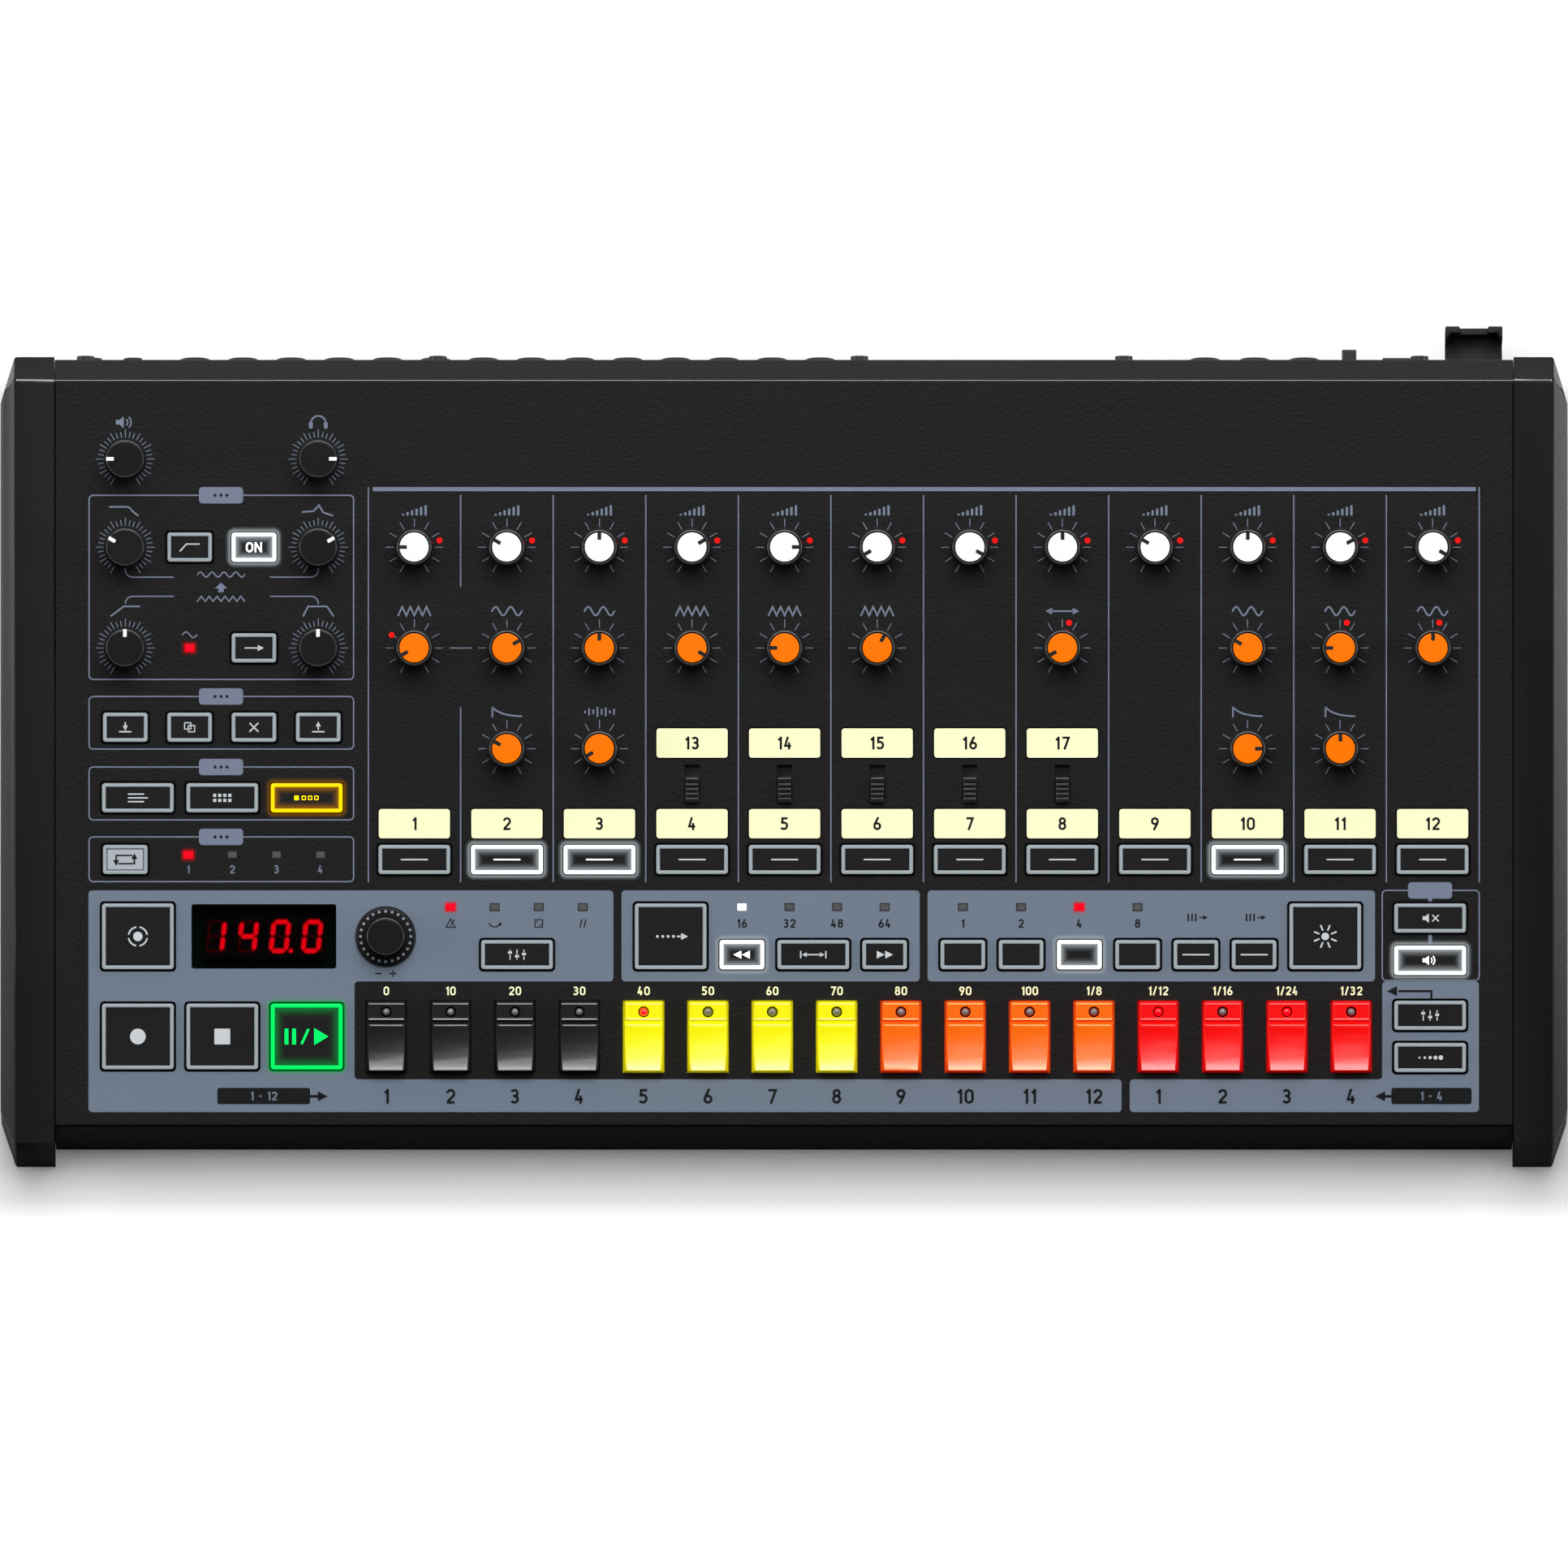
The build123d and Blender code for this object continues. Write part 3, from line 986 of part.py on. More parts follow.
def slide_switch_tips():
    """The ribbed grips of the slide switches, at the lower end of their travel, on their dust plates."""
    plate_top = PANEL_UNDER - FIT_GAP
    plate_low = plate_top - SLIDER_PLATE_THICKNESS
    cover = SLIDER_TRAVEL + 2 * SLIDER_PLATE_MARGIN
    tip = block(SLIDE_SLOT_WIDTH + 2 * SLIDER_PLATE_MARGIN, SLIDE_SLOT_LENGTH + cover, plate_low, plate_top)
    tip += block(SLIDER_GRIP_WIDTH, SLIDER_GRIP_LENGTH, plate_top, SLIDER_GRIP_TOP)
    rib_pitch = SLIDER_GRIP_LENGTH / SLIDER_RIBS
    groove = block(SLIDER_GRIP_WIDTH, rib_pitch / 3, SLIDER_GRIP_TOP - SLIDER_RIB_DEPTH, SLIDER_GRIP_TOP)
    tip -= [Pos(0, (i - SLIDER_RIBS / 2) * rib_pitch, 0) * groove for i in range(1, SLIDER_RIBS)]
    stem_low = BOARD_TOP + SLIDE_BODY_HEIGHT - SLIDE_STEM_DEPTH
    tip += block(SLIDER_STEM_WIDTH, SLIDER_STEM_LENGTH, stem_low, plate_low)
    rest_v = SLIDE_ROW_V - SLIDER_TRAVEL / 2
    return [on_panel(channel_x(i), rest_v) * tip for i in SLIDE_CHANNELS]


# ------------------------------------------------------------------ writing the nodes
def all_nodes():
    """Every node's name with its solids."""
    cheek = right_cheek()
    nodes = {
        "top_panel": [top_panel()],
        "base_tray": base_tray(),
        "right_cheek": [cheek],
        "left_cheek": [mirror(cheek, about=Plane.YZ)],
        "rubber_feet": rubber_feet(),
        "case_screws": case_screws(),
        "circuit_boards": circuit_boards(),
        "pot_bodies": pot_bodies(),
        "switch_bodies": switch_bodies(),
        "panel_lamps": panel_lamps(),
        "display_window": [display_window()],
        "display_module": [display_module()],
        "audio_jacks": audio_jacks(),
        "midi_sockets": midi_sockets(),
        "usb_socket": [usb_socket()],
        "power_inlet": [power_inlet()],
        "power_switch_body": [power_switch_body()],
        "cable_hook": [cable_hook()],
        "power_switch_lever": [power_switch_lever()],
        "slide_switch_tips": slide_switch_tips(),
        "select_buttons": button_group(SELECT_BUTTONS),
        "small_buttons": button_group(SMALL_BUTTONS),
        "large_buttons": button_group(LARGE_BUTTONS),
    }
    key = step_key()
    for colour, keys in KEY_COLOURS.items():
        nodes[f"step_keys_{colour}"] = [on_panel(key_x(i), KEY_ROW_V) * key for i in keys]
    capped, plain = capped_knob(), plain_knob()
    for name, x, v, turn in PLAIN_KNOBS:
        nodes[name] = placed_knob(plain, x, v, turn)
    for name, x, v, turn in LEVEL_KNOBS + TONE_KNOBS:
        nodes[name] = placed_knob(capped, x, v, turn)
    name, x, v, turn = DATA_KNOB
    nodes[name] = placed_knob(data_knob(), x, v, turn)
    return nodes


def write_nodes():
    os.makedirs("parts", exist_ok=True)
    for name, pieces in all_nodes().items():
        solids = [solid for piece in pieces for solid in piece.solids()]
        export_step(Compound(children=solids), f"parts/{name}.step")


write_nodes()
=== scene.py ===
import json
import math

import bmesh
import bpy
import numpy as np
from mathutils import Matrix, Vector


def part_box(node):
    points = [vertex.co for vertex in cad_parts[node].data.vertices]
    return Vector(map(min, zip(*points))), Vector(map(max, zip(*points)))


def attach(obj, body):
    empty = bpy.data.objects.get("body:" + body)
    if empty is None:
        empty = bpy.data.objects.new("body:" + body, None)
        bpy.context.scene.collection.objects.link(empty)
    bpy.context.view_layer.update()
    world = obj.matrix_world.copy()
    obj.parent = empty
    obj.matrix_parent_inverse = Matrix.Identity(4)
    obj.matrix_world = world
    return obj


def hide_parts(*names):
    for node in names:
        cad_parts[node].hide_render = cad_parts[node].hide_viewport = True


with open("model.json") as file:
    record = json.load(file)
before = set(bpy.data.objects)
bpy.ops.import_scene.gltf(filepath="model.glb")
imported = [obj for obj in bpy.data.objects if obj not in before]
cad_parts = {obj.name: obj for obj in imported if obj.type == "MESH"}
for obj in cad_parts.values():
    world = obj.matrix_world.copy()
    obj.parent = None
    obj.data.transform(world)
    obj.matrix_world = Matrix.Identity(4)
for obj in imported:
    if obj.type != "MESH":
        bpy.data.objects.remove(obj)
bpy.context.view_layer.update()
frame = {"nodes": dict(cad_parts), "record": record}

# A drum machine's control panel, seen square on. Lengths are millimetres unless a name says metres.
# Places on the panel are x to the right, v up the slope from the front bend and w out of the face.
MM = 0.001
MASTER_ROW_V = 212.0
JOINTS = {joint["name"]: joint for joint in frame["record"]["behaviour"]["joints"]}


def joint_place(knob):
    """The place of a knob's joint in millimetres, in the row frame."""
    return np.array(JOINTS[f"{knob}_turn"]["pos_m"]) / MM


OUT = np.array(JOINTS["master_knob_turn"]["axis"])
OUT = OUT / np.linalg.norm(OUT)
RIGHT = np.array([1.0, 0.0, 0.0])
UP = np.cross(OUT, RIGHT)
BEND = joint_place("master_knob") * (0, 1, 1) - UP * MASTER_ROW_V


def panel_place(knob):
    """(x, v) of a knob."""
    place = joint_place(knob)
    return place[0], float((place - BEND) @ UP)


# ------------------------------------------------------------------ layout
CHANNELS = 12
FIRST_CHANNEL_X, LEVEL_ROW_V = panel_place("level_knob_01")
CHANNEL_PITCH = (panel_place("level_knob_12")[0] - FIRST_CHANNEL_X) / (CHANNELS - 1)
TONE_ROW_V = panel_place("tone_knob_01")[1]
DECAY_ROW_V = panel_place("decay_knob_02")[1]
LEFT_X = panel_place("master_knob")[0]
LEFT_PITCH = (panel_place("phones_knob")[0] - LEFT_X) / 3
DATA_X, TRANSPORT_ROW_V = panel_place("data_knob")

BUTTON_SMALL = (14.3, 9.4)
BUTTON_WIDE = (22.9, 9.4)
BUTTON_LARGE = (22.9, 21.0)
BUTTON_CORNER = 1.0
BUTTON_PROUD = 1.3
BUTTON_FRAME = 1.35
BUTTON_LOW = -2.4
FACE_GAP = 0.12
CONTROL_GAP = 0.35
EDIT_ROW_V = 126.8
MODE_ROW_V = 104.4
MODE_X = -205.2
MODE_PITCH = 26.8
SELECT_ROW_V = 84.8
LOWER_ROW_V = 54.6
DATA_MODE_X = -84.8
SCROLL_X = -36.0
LENGTH_X = 9.3
LENGTH_SIDE_PITCH = 22.65
REPEAT_X = 56.8
REPEAT_PITCH = 18.5
TRIGGER_X = 171.9
TRACK_X = 205.2
TRACK_ROWS_V = (66.2, 52.8, 35.3, 21.9)

KEY_COUNT = 16
KEY_PITCH = 20.43
FIRST_KEY_X = -126.3
KEY_ROW_V = 28.6
KEY_LED_V = KEY_ROW_V + 7.85
SLIDE_CHANNELS = (3, 4, 5, 6, 7)

LAMP_SIZE = (2.9, 2.3)
SYNC_LAMP_X = -189.2
SYNC_LAMP_PITCH = 14.0
SYNC_LAMP_V = 86.3
UPPER_LAMP_V = 69.7
TEMPO_LAMP_X = -105.9
LENGTH_LAMP_PITCH = 15.1
DISPLAY_X = -165.2
DISPLAY_SIZE = (45.9, 20.4)
MODULE_TOP = -2.0
WINDOW_TOP = 0.2

KNOB_GAP = 0.8
KNOB_TOP = 11.5
KNOB_SKIRT_RADIUS = 6.2
KNOB_STEPS = 144
CAP_RADIUS = 4.63
CAPPED_RIM_RADIUS = 5.0
CAPPED_TOP_RADIUS = 5.6
PLAIN_RIM_RADIUS = 5.45
PLAIN_TOP_RADIUS = 6.0
# How much of a plain knob's crown keeps its own colour against the painted highlight.
PLAIN_CROWN_TONE = 0.45
DATA_DISC_RADIUS = 9.6
DATA_DISC_TOP = 2.4

INK_LOW = -0.02
INK = 0.035
SECOND_INK = 0.06
LINE_WIDTH = 0.42
THIN_LINE = 0.34
BOLD_LINE = 0.5


def channel_x(channel):
    """The middle of a channel, counted from 0 at the left."""
    return FIRST_CHANNEL_X + channel * CHANNEL_PITCH


def left_x(column):
    """The middle of a column of the left block."""
    return LEFT_X + column * LEFT_PITCH


def key_x(key):
    """The middle of a step key, counted from 0 at the left."""
    return FIRST_KEY_X + key * KEY_PITCH


# ------------------------------------------------------------------ shapes
# A shape is (points, quads, caps): an (n, 3) array of x, v, w, an (m, 4) array of indices, and a list
# of flat many-sided faces.
def rings(loops, first_cap=False, last_cap=False, joined=False):
    """Skin between closed loops: loops[i, j] is joined to its neighbours in i and, round the loop, in j."""
    count, around = loops.shape[:2]
    index = np.arange(count * around).reshape(count, around)
    below = index if joined else index[:-1]
    above = np.roll(index, -1, axis=0) if joined else index[1:]
    quads = np.stack([below, np.roll(below, -1, axis=1), np.roll(above, -1, axis=1), above], axis=-1)
    caps = [index[0, ::-1]] if first_cap else []
    caps += [index[-1]] if last_cap else []
    return loops.reshape(-1, 3), quads.reshape(-1, 4), caps


def moved(shape, x=0.0, v=0.0, w=0.0, turn=0.0):
    """The shape turned clockwise by turn degrees about its own w axis, then shifted."""
    angle = -math.radians(turn)
    spin = np.array([[math.cos(angle), math.sin(angle), 0], [-math.sin(angle), math.cos(angle), 0], [0, 0, 1]])
    return shape[0] @ spin + (x, v, w), shape[1], shape[2]


def together(shapes):
    """Several shapes as one, each with its indices counted on from the one before."""
    shapes = list(shapes)
    starts = np.cumsum([0] + [len(shape[0]) for shape in shapes])
    points = np.concatenate([shape[0] for shape in shapes])
    quads = np.concatenate([shape[1] + start for shape, start in zip(shapes, starts)])
    caps = [cap + start for shape, start in zip(shapes, starts) for cap in shape[2]]
    return points, quads, caps


def circle(radius, steps=48):
    """Points radius * (cos t, sin t) for t evenly round a turn."""
    t = np.linspace(0, 2 * math.pi, steps, endpoint=False)
    return radius * np.stack([np.cos(t), np.sin(t)], axis=-1)


def rounded(width, length, corner, steps=6):
    """A rectangle's outline with quarter-circle corners, anticlockwise from the lower right corner."""
    corner = max(corner, 0.02)
    t = np.linspace(0, math.pi / 2, steps)
    arcs = []
    for quarter, (sx, sy) in enumerate(((1, -1), (1, 1), (-1, 1), (-1, -1))):
        angle = t + (quarter - 1) * math.pi / 2
        centre = np.array([sx * (width / 2 - corner), sy * (length / 2 - corner)])
        arcs.append(centre + corner * np.stack([np.cos(angle), np.sin(angle)], axis=-1))
    return np.concatenate(arcs)


def level(outline, height):
    """A flat outline as a loop of points at one height."""
    return np.column_stack([outline, np.full(len(outline), height)])


def plate(outline, low, high):
    """A flat plate of the outline."""
    return rings(np.stack([level(outline, low), level(outline, high)]), True, True)


def band(outer, inner, low, high):
    """A flat band between two outlines of as many points, closed all round its section."""
    loops = [level(outer, low), level(outer, high), level(inner, high), level(inner, low)]
    return rings(np.stack(loops), joined=True)


def turned(profile, steps=96, flutes=0, depth=0.0, fluted=None):
    """A profile of (radius, height) turned about w; where fluted is 1, the radius dips by
    depth * (1 - cos(flutes * t)) / 2 at angle t."""
    profile = np.array(profile, dtype=float)
    t = np.linspace(0, 2 * math.pi, steps, endpoint=False)
    dip = depth * (1 - np.cos(flutes * t)) / 2
    share = np.zeros(len(profile)) if fluted is None else np.array(fluted, dtype=float)
    radius = profile[:, :1] - share[:, None] * dip[None, :]
    loops = np.stack([radius * np.cos(t), radius * np.sin(t), np.repeat(profile[:, 1:], steps, axis=1)], axis=-1)
    return rings(loops, profile[0, 0] > 0, profile[-1, 0] > 0)


def stroke_outline(path, width, round_ends=True):
    """The outline of a line of even width along a path: each side is the path moved by half the width
    along its mitred normal, and each end is a half circle."""
    path = np.array(path, dtype=float)
    steps = np.diff(path, axis=0)
    steps /= np.linalg.norm(steps, axis=1)[:, None]
    normals = np.column_stack([-steps[:, 1], steps[:, 0]])
    before = np.vstack([normals[:1], normals])
    after = np.vstack([normals, normals[-1:]])
    mitre = (before + after) / (1 + np.sum(before * after, axis=1))[:, None]
    half = width / 2
    sides = [path + mitre * half, (path - mitre * half)[::-1]]
    if not round_ends:
        return np.concatenate(sides)
    t = np.linspace(0, math.pi, 7)[1:-1, None]
    end = path[-1] + half * (np.cos(t) * normals[-1] + np.sin(t) * steps[-1])
    start = path[0] - half * (np.cos(t) * normals[0] + np.sin(t) * steps[0])
    return np.concatenate([sides[0], end, sides[1], start])


def arc(cx, cy, radius, start, end, steps=16):
    """Points on a circle from one angle to another, in degrees anticlockwise from the right."""
    t = np.radians(np.linspace(start, end, steps))
    return np.column_stack([cx + radius * np.cos(t), cy + radius * np.sin(t)])


def new_object(name, data):
    """An object that holds the data, linked into the scene."""
    made = bpy.data.objects.new(name, data)
    bpy.context.scene.collection.objects.link(made)
    return made


def from_curve(curve, low, high):
    """The closed mesh of a filled flat curve, lifted to lie between two heights."""
    curve.extrude = (high - low) / 2
    holder = new_object("outline", curve)
    bpy.context.view_layer.update()
    mesh = bpy.data.meshes.new_from_object(holder.evaluated_get(bpy.context.evaluated_depsgraph_get()))
    points = np.empty(len(mesh.vertices) * 3)
    mesh.vertices.foreach_get("co", points)
    faces = [np.array(face.vertices) for face in mesh.polygons]
    bpy.data.objects.remove(holder)
    bpy.data.meshes.remove(mesh)
    return points.reshape(-1, 3) + (0, 0, (low + high) / 2), np.zeros((0, 4), dtype=int), faces


def pierced(outline, holes, low, high):
    """A flat plate with holes: the outline and the holes as splines of one filled curve."""
    curve = bpy.data.curves.new("pierced", "CURVE")
    curve.dimensions = "2D"
    curve.fill_mode = "BOTH"
    for loop in (outline, *holes):
        spline = curve.splines.new("POLY")
        spline.points.add(len(loop) - 1)
        spline.points.foreach_set("co", np.column_stack([loop, np.zeros(len(loop)), np.ones(len(loop))]).ravel())
        spline.use_cyclic_u = True
    return from_curve(curve, low, high)


def spread(path, distance):
    """A closed path, anticlockwise, moved outwards along its mitred normals."""
    steps = np.roll(path, -1, axis=0) - path
    steps /= np.linalg.norm(steps, axis=1)[:, None]
    normals = np.column_stack([steps[:, 1], -steps[:, 0]])
    before = np.roll(normals, 1, axis=0)
    return path + (before + normals) / (1 + np.sum(before * normals, axis=1))[:, None] * distance


def loop_band(path, width, low, high):
    """A band of even width along a closed path."""
    return band(spread(path, width / 2), spread(path, -width / 2), low, high)


# Figures are drawn by strokes of one width. All are shares of the cap height, and the strokes' centre
# lines stand on y 0.
FIGURE_STROKE = 0.175
FIGURE_SPACE = 0.13
FIGURE_TOP = 1 - FIGURE_STROKE
FIGURE_WIDTHS = {"1": 0.22, "/": 0.3, "-": 0.26, " ": 0.1, "O": 0.56, "N": 0.56}
FIGURE_WIDTH = 0.46


def figure_paths(figure):
    """The open and the closed centre lines of a figure."""
    w, h, r = FIGURE_WIDTH, FIGURE_TOP, FIGURE_WIDTH / 2
    low, high = -FIGURE_STROKE / 2, FIGURE_TOP + FIGURE_STROKE / 2
    bowl = circle(0.22, 32) + (r, 0.22)
    stem = np.array([(0.32, high), (0.03, 0.36)])
    rounds = {
        "0": [np.vstack([arc(r, h - r, r, 0, 180), arc(r, r, r, 180, 360)])],
        "6": [bowl],
        "8": [bowl, circle(0.19, 32) + (r, h - 0.19)],
        "9": [(w, h) - bowl],
        "O": [np.vstack([arc(0.28, h - 0.28, 0.28, 0, 180), arc(0.28, 0.28, 0.28, 180, 360)])],
    }
    lines = {
        "1": [[(0.2, low), (0.2, high)], [(0.0, h - 0.19), (0.19, h - 0.03)]],
        "2": [np.vstack([arc(r, h - r, r, 172, -38), [(0.04, 0.05)]]), [(-0.04, 0), (w + 0.04, 0)]],
        "3": [arc(0.19, h - 0.2, 0.2, 152, -90), arc(0.19, 0.22, 0.22, 90, -152), [(0.1, 0.44), (0.2, 0.44)]],
        "4": [[(0.22, high), (0.01, 0.2), (0.47, 0.2)], [(0.31, low), (0.31, 0.46)]],
        "5": [[(w, h), (0.06, h), (0.04, 0.4)], arc(0.17, 0.25, 0.25, 125, -145)],
        "6": [stem],
        "7": [[(-0.03, h), (w, h), (0.13, low)]],
        "9": [(w, h) - stem],
        "/": [[(0, low), (0.3, high)]],
        "-": [[(0, 0.4), (0.26, 0.4)]],
        "N": [[(0, low), (0, high)], [(0.56, low), (0.56, high)], [(0.02, high - 0.06), (0.54, low + 0.06)]],
    }
    return lines.get(figure, []), rounds.get(figure, [])


def numeral(text, height, x, v, low=INK_LOW, high=INK):
    """Plain figures of this cap height, centred on (x, v)."""
    widths = [FIGURE_WIDTHS.get(figure, FIGURE_WIDTH) for figure in text]
    step = FIGURE_STROKE + FIGURE_SPACE
    start = -(sum(widths) + step * (len(text) - 1)) / 2
    stroke = FIGURE_STROKE * height
    shapes = []
    for figure, width in zip(text, widths):
        corner = np.array([start, -FIGURE_TOP / 2])
        lines, rounds = figure_paths(figure)
        shapes += [plate(stroke_outline((np.array(path) + corner) * height, stroke, False), low, high)
                   for path in lines]
        shapes += [loop_band((path + corner) * height, stroke, low, high) for path in rounds]
        start += width + step
    return moved(together(shapes), x, v)


# ------------------------------------------------------------------ finishes
def linear(red, green, blue):
    """A colour given in 0-255 screen values, as linear light."""
    c = np.array([red, green, blue]) / 255
    return (*np.where(c <= 0.04045, c / 12.92, ((c + 0.055) / 1.055) ** 2.4), 1.0)


def new_group(name, inputs, outputs):
    """An empty shader group with named sockets; inputs are (name, type, default)."""
    group = bpy.data.node_groups.new(name, "ShaderNodeTree")
    for label, kind, default in inputs:
        socket = group.interface.new_socket(label, in_out="INPUT", socket_type=kind)
        socket.default_value = default
    for label, kind in outputs:
        group.interface.new_socket(label, in_out="OUTPUT", socket_type=kind)
    return group, group.nodes.new("NodeGroupInput"), group.nodes.new("NodeGroupOutput")


def add(tree, kind, links=(), **settings):
    """A new node with its settings and its inputs linked or set, given as (input, value or socket)."""
    node = tree.nodes.new(kind)
    for key, value in settings.items():
        setattr(node, key, value)
    for socket, value in links:
        if isinstance(value, bpy.types.NodeSocket):
            tree.links.new(value, node.inputs[socket])
        else:
            node.inputs[socket].default_value = value
    return node


def calculate(tree, operation, *values):
    """The result of an arithmetic node."""
    return add(tree, "ShaderNodeMath", enumerate(values), operation=operation).outputs[0]


def scaled(tree, vector, share):
    """A colour or a direction times a number."""
    return add(tree, "ShaderNodeVectorMath", [(0, vector), ("Scale", share)], operation="SCALE").outputs[0]


def ranged(tree, value, start, end, first=0.0, last=1.0, **settings):
    """What runs from first to last while the value runs from start to end."""
    links = [(0, value), (1, start), (2, end), (3, first), (4, last)]
    return add(tree, "ShaderNodeMapRange", links, **settings).outputs[0]


def parted(tree, vector):
    """The x, y and z of a vector."""
    return add(tree, "ShaderNodeSeparateXYZ", [(0, vector)]).outputs


WARP_SCALE = 700.0
WARP_REACH = 0.0009


def grain_group():
    """Pebbled relief: rounded cells between fine creases, with finer noise over them."""
    inputs = [("Cell Scale", "NodeSocketFloat", 1200.0), ("Fine Scale", "NodeSocketFloat", 5000.0),
              ("Fine Share", "NodeSocketFloat", 0.3)]
    group, ins, outs = new_group("pebbled grain", inputs, [("Height", "NodeSocketFloat")])
    place = add(group, "ShaderNodeTexCoord").outputs["Object"]
    warp = add(group, "ShaderNodeTexNoise", [("Vector", place), ("Scale", WARP_SCALE), ("Detail", 2.0)])
    nudge = scaled(group, warp.outputs["Color"], WARP_REACH)
    bent = add(group, "ShaderNodeVectorMath", [(0, place), (1, nudge)], operation="ADD")
    cells = add(group, "ShaderNodeTexVoronoi", [("Vector", bent.outputs[0]), ("Scale", ins.outputs[0])],
                feature="SMOOTH_F1")
    fine = add(group, "ShaderNodeTexNoise", [("Vector", place), ("Scale", ins.outputs[1]), ("Detail", 2.0)])
    both = add(group, "ShaderNodeMix", [("Factor", ins.outputs[2]), (2, cells.outputs["Distance"]),
                                        (3, fine.outputs["Fac"])])
    group.links.new(both.outputs[0], outs.inputs[0])
    return group


def mottle_group():
    """Slow drift of colour and gloss over a surface, as handling and uneven moulding leave it."""
    inputs = [("Colour", "NodeSocketColor", (0.5, 0.5, 0.5, 1)), ("Colour Drift", "NodeSocketFloat", 0.1),
              ("Roughness", "NodeSocketFloat", 0.5), ("Roughness Drift", "NodeSocketFloat", 0.1),
              ("Scale", "NodeSocketFloat", 60.0)]
    outputs = [("Colour", "NodeSocketColor"), ("Roughness", "NodeSocketFloat")]
    group, ins, outs = new_group("handling drift", inputs, outputs)
    place = add(group, "ShaderNodeTexCoord").outputs["Object"]
    noise = add(group, "ShaderNodeTexNoise", [("Vector", place), ("Scale", ins.outputs["Scale"]), ("Detail", 5.0)])
    centred = calculate(group, "SUBTRACT", noise.outputs["Fac"], 0.5)
    shade = calculate(group, "MULTIPLY_ADD", centred, ins.outputs["Colour Drift"], 1.0)
    rough = calculate(group, "MULTIPLY_ADD", centred, ins.outputs["Roughness Drift"], ins.outputs["Roughness"])
    group.links.new(scaled(group, ins.outputs["Colour"], shade), outs.inputs[0])
    group.links.new(rough, outs.inputs[1])
    return group


GRAIN = grain_group()
DRIFT = mottle_group()
# The grain's cells and finer noise per metre, and the share of the finer noise.
PEBBLED = (1150, 4200, 0.35)
SATIN = (4000, 9000, 0.6)
GLOSS_DRIFT = 0.08
# Parts of a normal between which a face turns into one of the bend, the rear, the sides or the front.
BEND_TURN = (0.0, 0.06)
REAR_TURN = (0.22, 0.34)
SIDE_TURN = (0.6, 0.85)
FRONT_TURN = (-0.6, -0.3)
# The share of its colour that a face to the front keeps: painted shade.
FRONT_SHADE = 0.2
# Where the painted glow on the keys' flanks shows, and how strong it is.
FLANK_TURN = (0.55, 0.9)
FLANK_GLOW = 0.55


def new_material(name):
    """A node material, its tree and its shader."""
    material = bpy.data.materials.new(name)
    material.use_nodes = True
    return material, material.node_tree, material.node_tree.nodes["Principled BSDF"]


def tone_value(tree):
    """The piece's own tone value."""
    return add(tree, "ShaderNodeAttribute", attribute_name="tone").outputs["Fac"]


def drifting(tree, colour, drift, scale, painted_edge_colour=None):
    """A colour that drifts. With a painted edge colour, it runs from that to the main one with the piece's tone; the
    edge colour paints highlights on the knobs and shade on frames and lamps.
    """
    links = [("Colour", linear(*colour)), ("Colour Drift", drift), ("Scale", scale)]
    mottle_and_painted_light = add(tree, "ShaderNodeGroup", links, node_tree=DRIFT)
    if painted_edge_colour:
        run = add(tree, "ShaderNodeMix", [(0, tone_value(tree)), (6, linear(*painted_edge_colour)), (7, linear(*colour))],
                  data_type="RGBA")
        tree.links.new(run.outputs[2], mottle_and_painted_light.inputs["Colour"])
    return mottle_and_painted_light


def coat_by_facing(tree, shader, mottle_and_painted_light, colour, back_gloss, side_gloss):
    """Clear coat by where a face looks: all of it on the bend before the rear, and its own share on the
    rear and on the sides. Faces to the front are darkened: painted shade."""
    aside, back, _ = parted(tree, add(tree, "ShaderNodeNewGeometry").outputs["Normal"])
    rear = ranged(tree, back, *REAR_TURN, 1.0, back_gloss)
    behind = calculate(tree, "MULTIPLY", ranged(tree, back, *BEND_TURN), rear)
    beside = ranged(tree, calculate(tree, "ABSOLUTE", aside), *SIDE_TURN, 0.0, side_gloss)
    tree.links.new(calculate(tree, "MAXIMUM", behind, beside), shader.inputs["Coat Weight"])
    # Painted shade: faces to the front take a darker colour.
    painted_front_shade = scaled(tree, linear(*colour)[:3], ranged(tree, back, *FRONT_TURN, FRONT_SHADE, 1.0))
    tree.links.new(painted_front_shade, mottle_and_painted_light.inputs["Colour"])


def glow_at_flanks(tree, shader, colour):
    """Painted glow on the flanks of a key moulding, strongest on faces that stand steeply to the panel."""
    normal = add(tree, "ShaderNodeNewGeometry").outputs["Normal"]
    flat = add(tree, "ShaderNodeVectorMath", [(0, normal), (1, OUT)], operation="DOT_PRODUCT")
    glow = scaled(tree, linear(*colour)[:3], ranged(tree, flat.outputs["Value"], *FLANK_TURN, 1.0, 0.0))
    tree.links.new(glow, shader.inputs["Emission Color"])
    shader.inputs["Emission Strength"].default_value = FLANK_GLOW


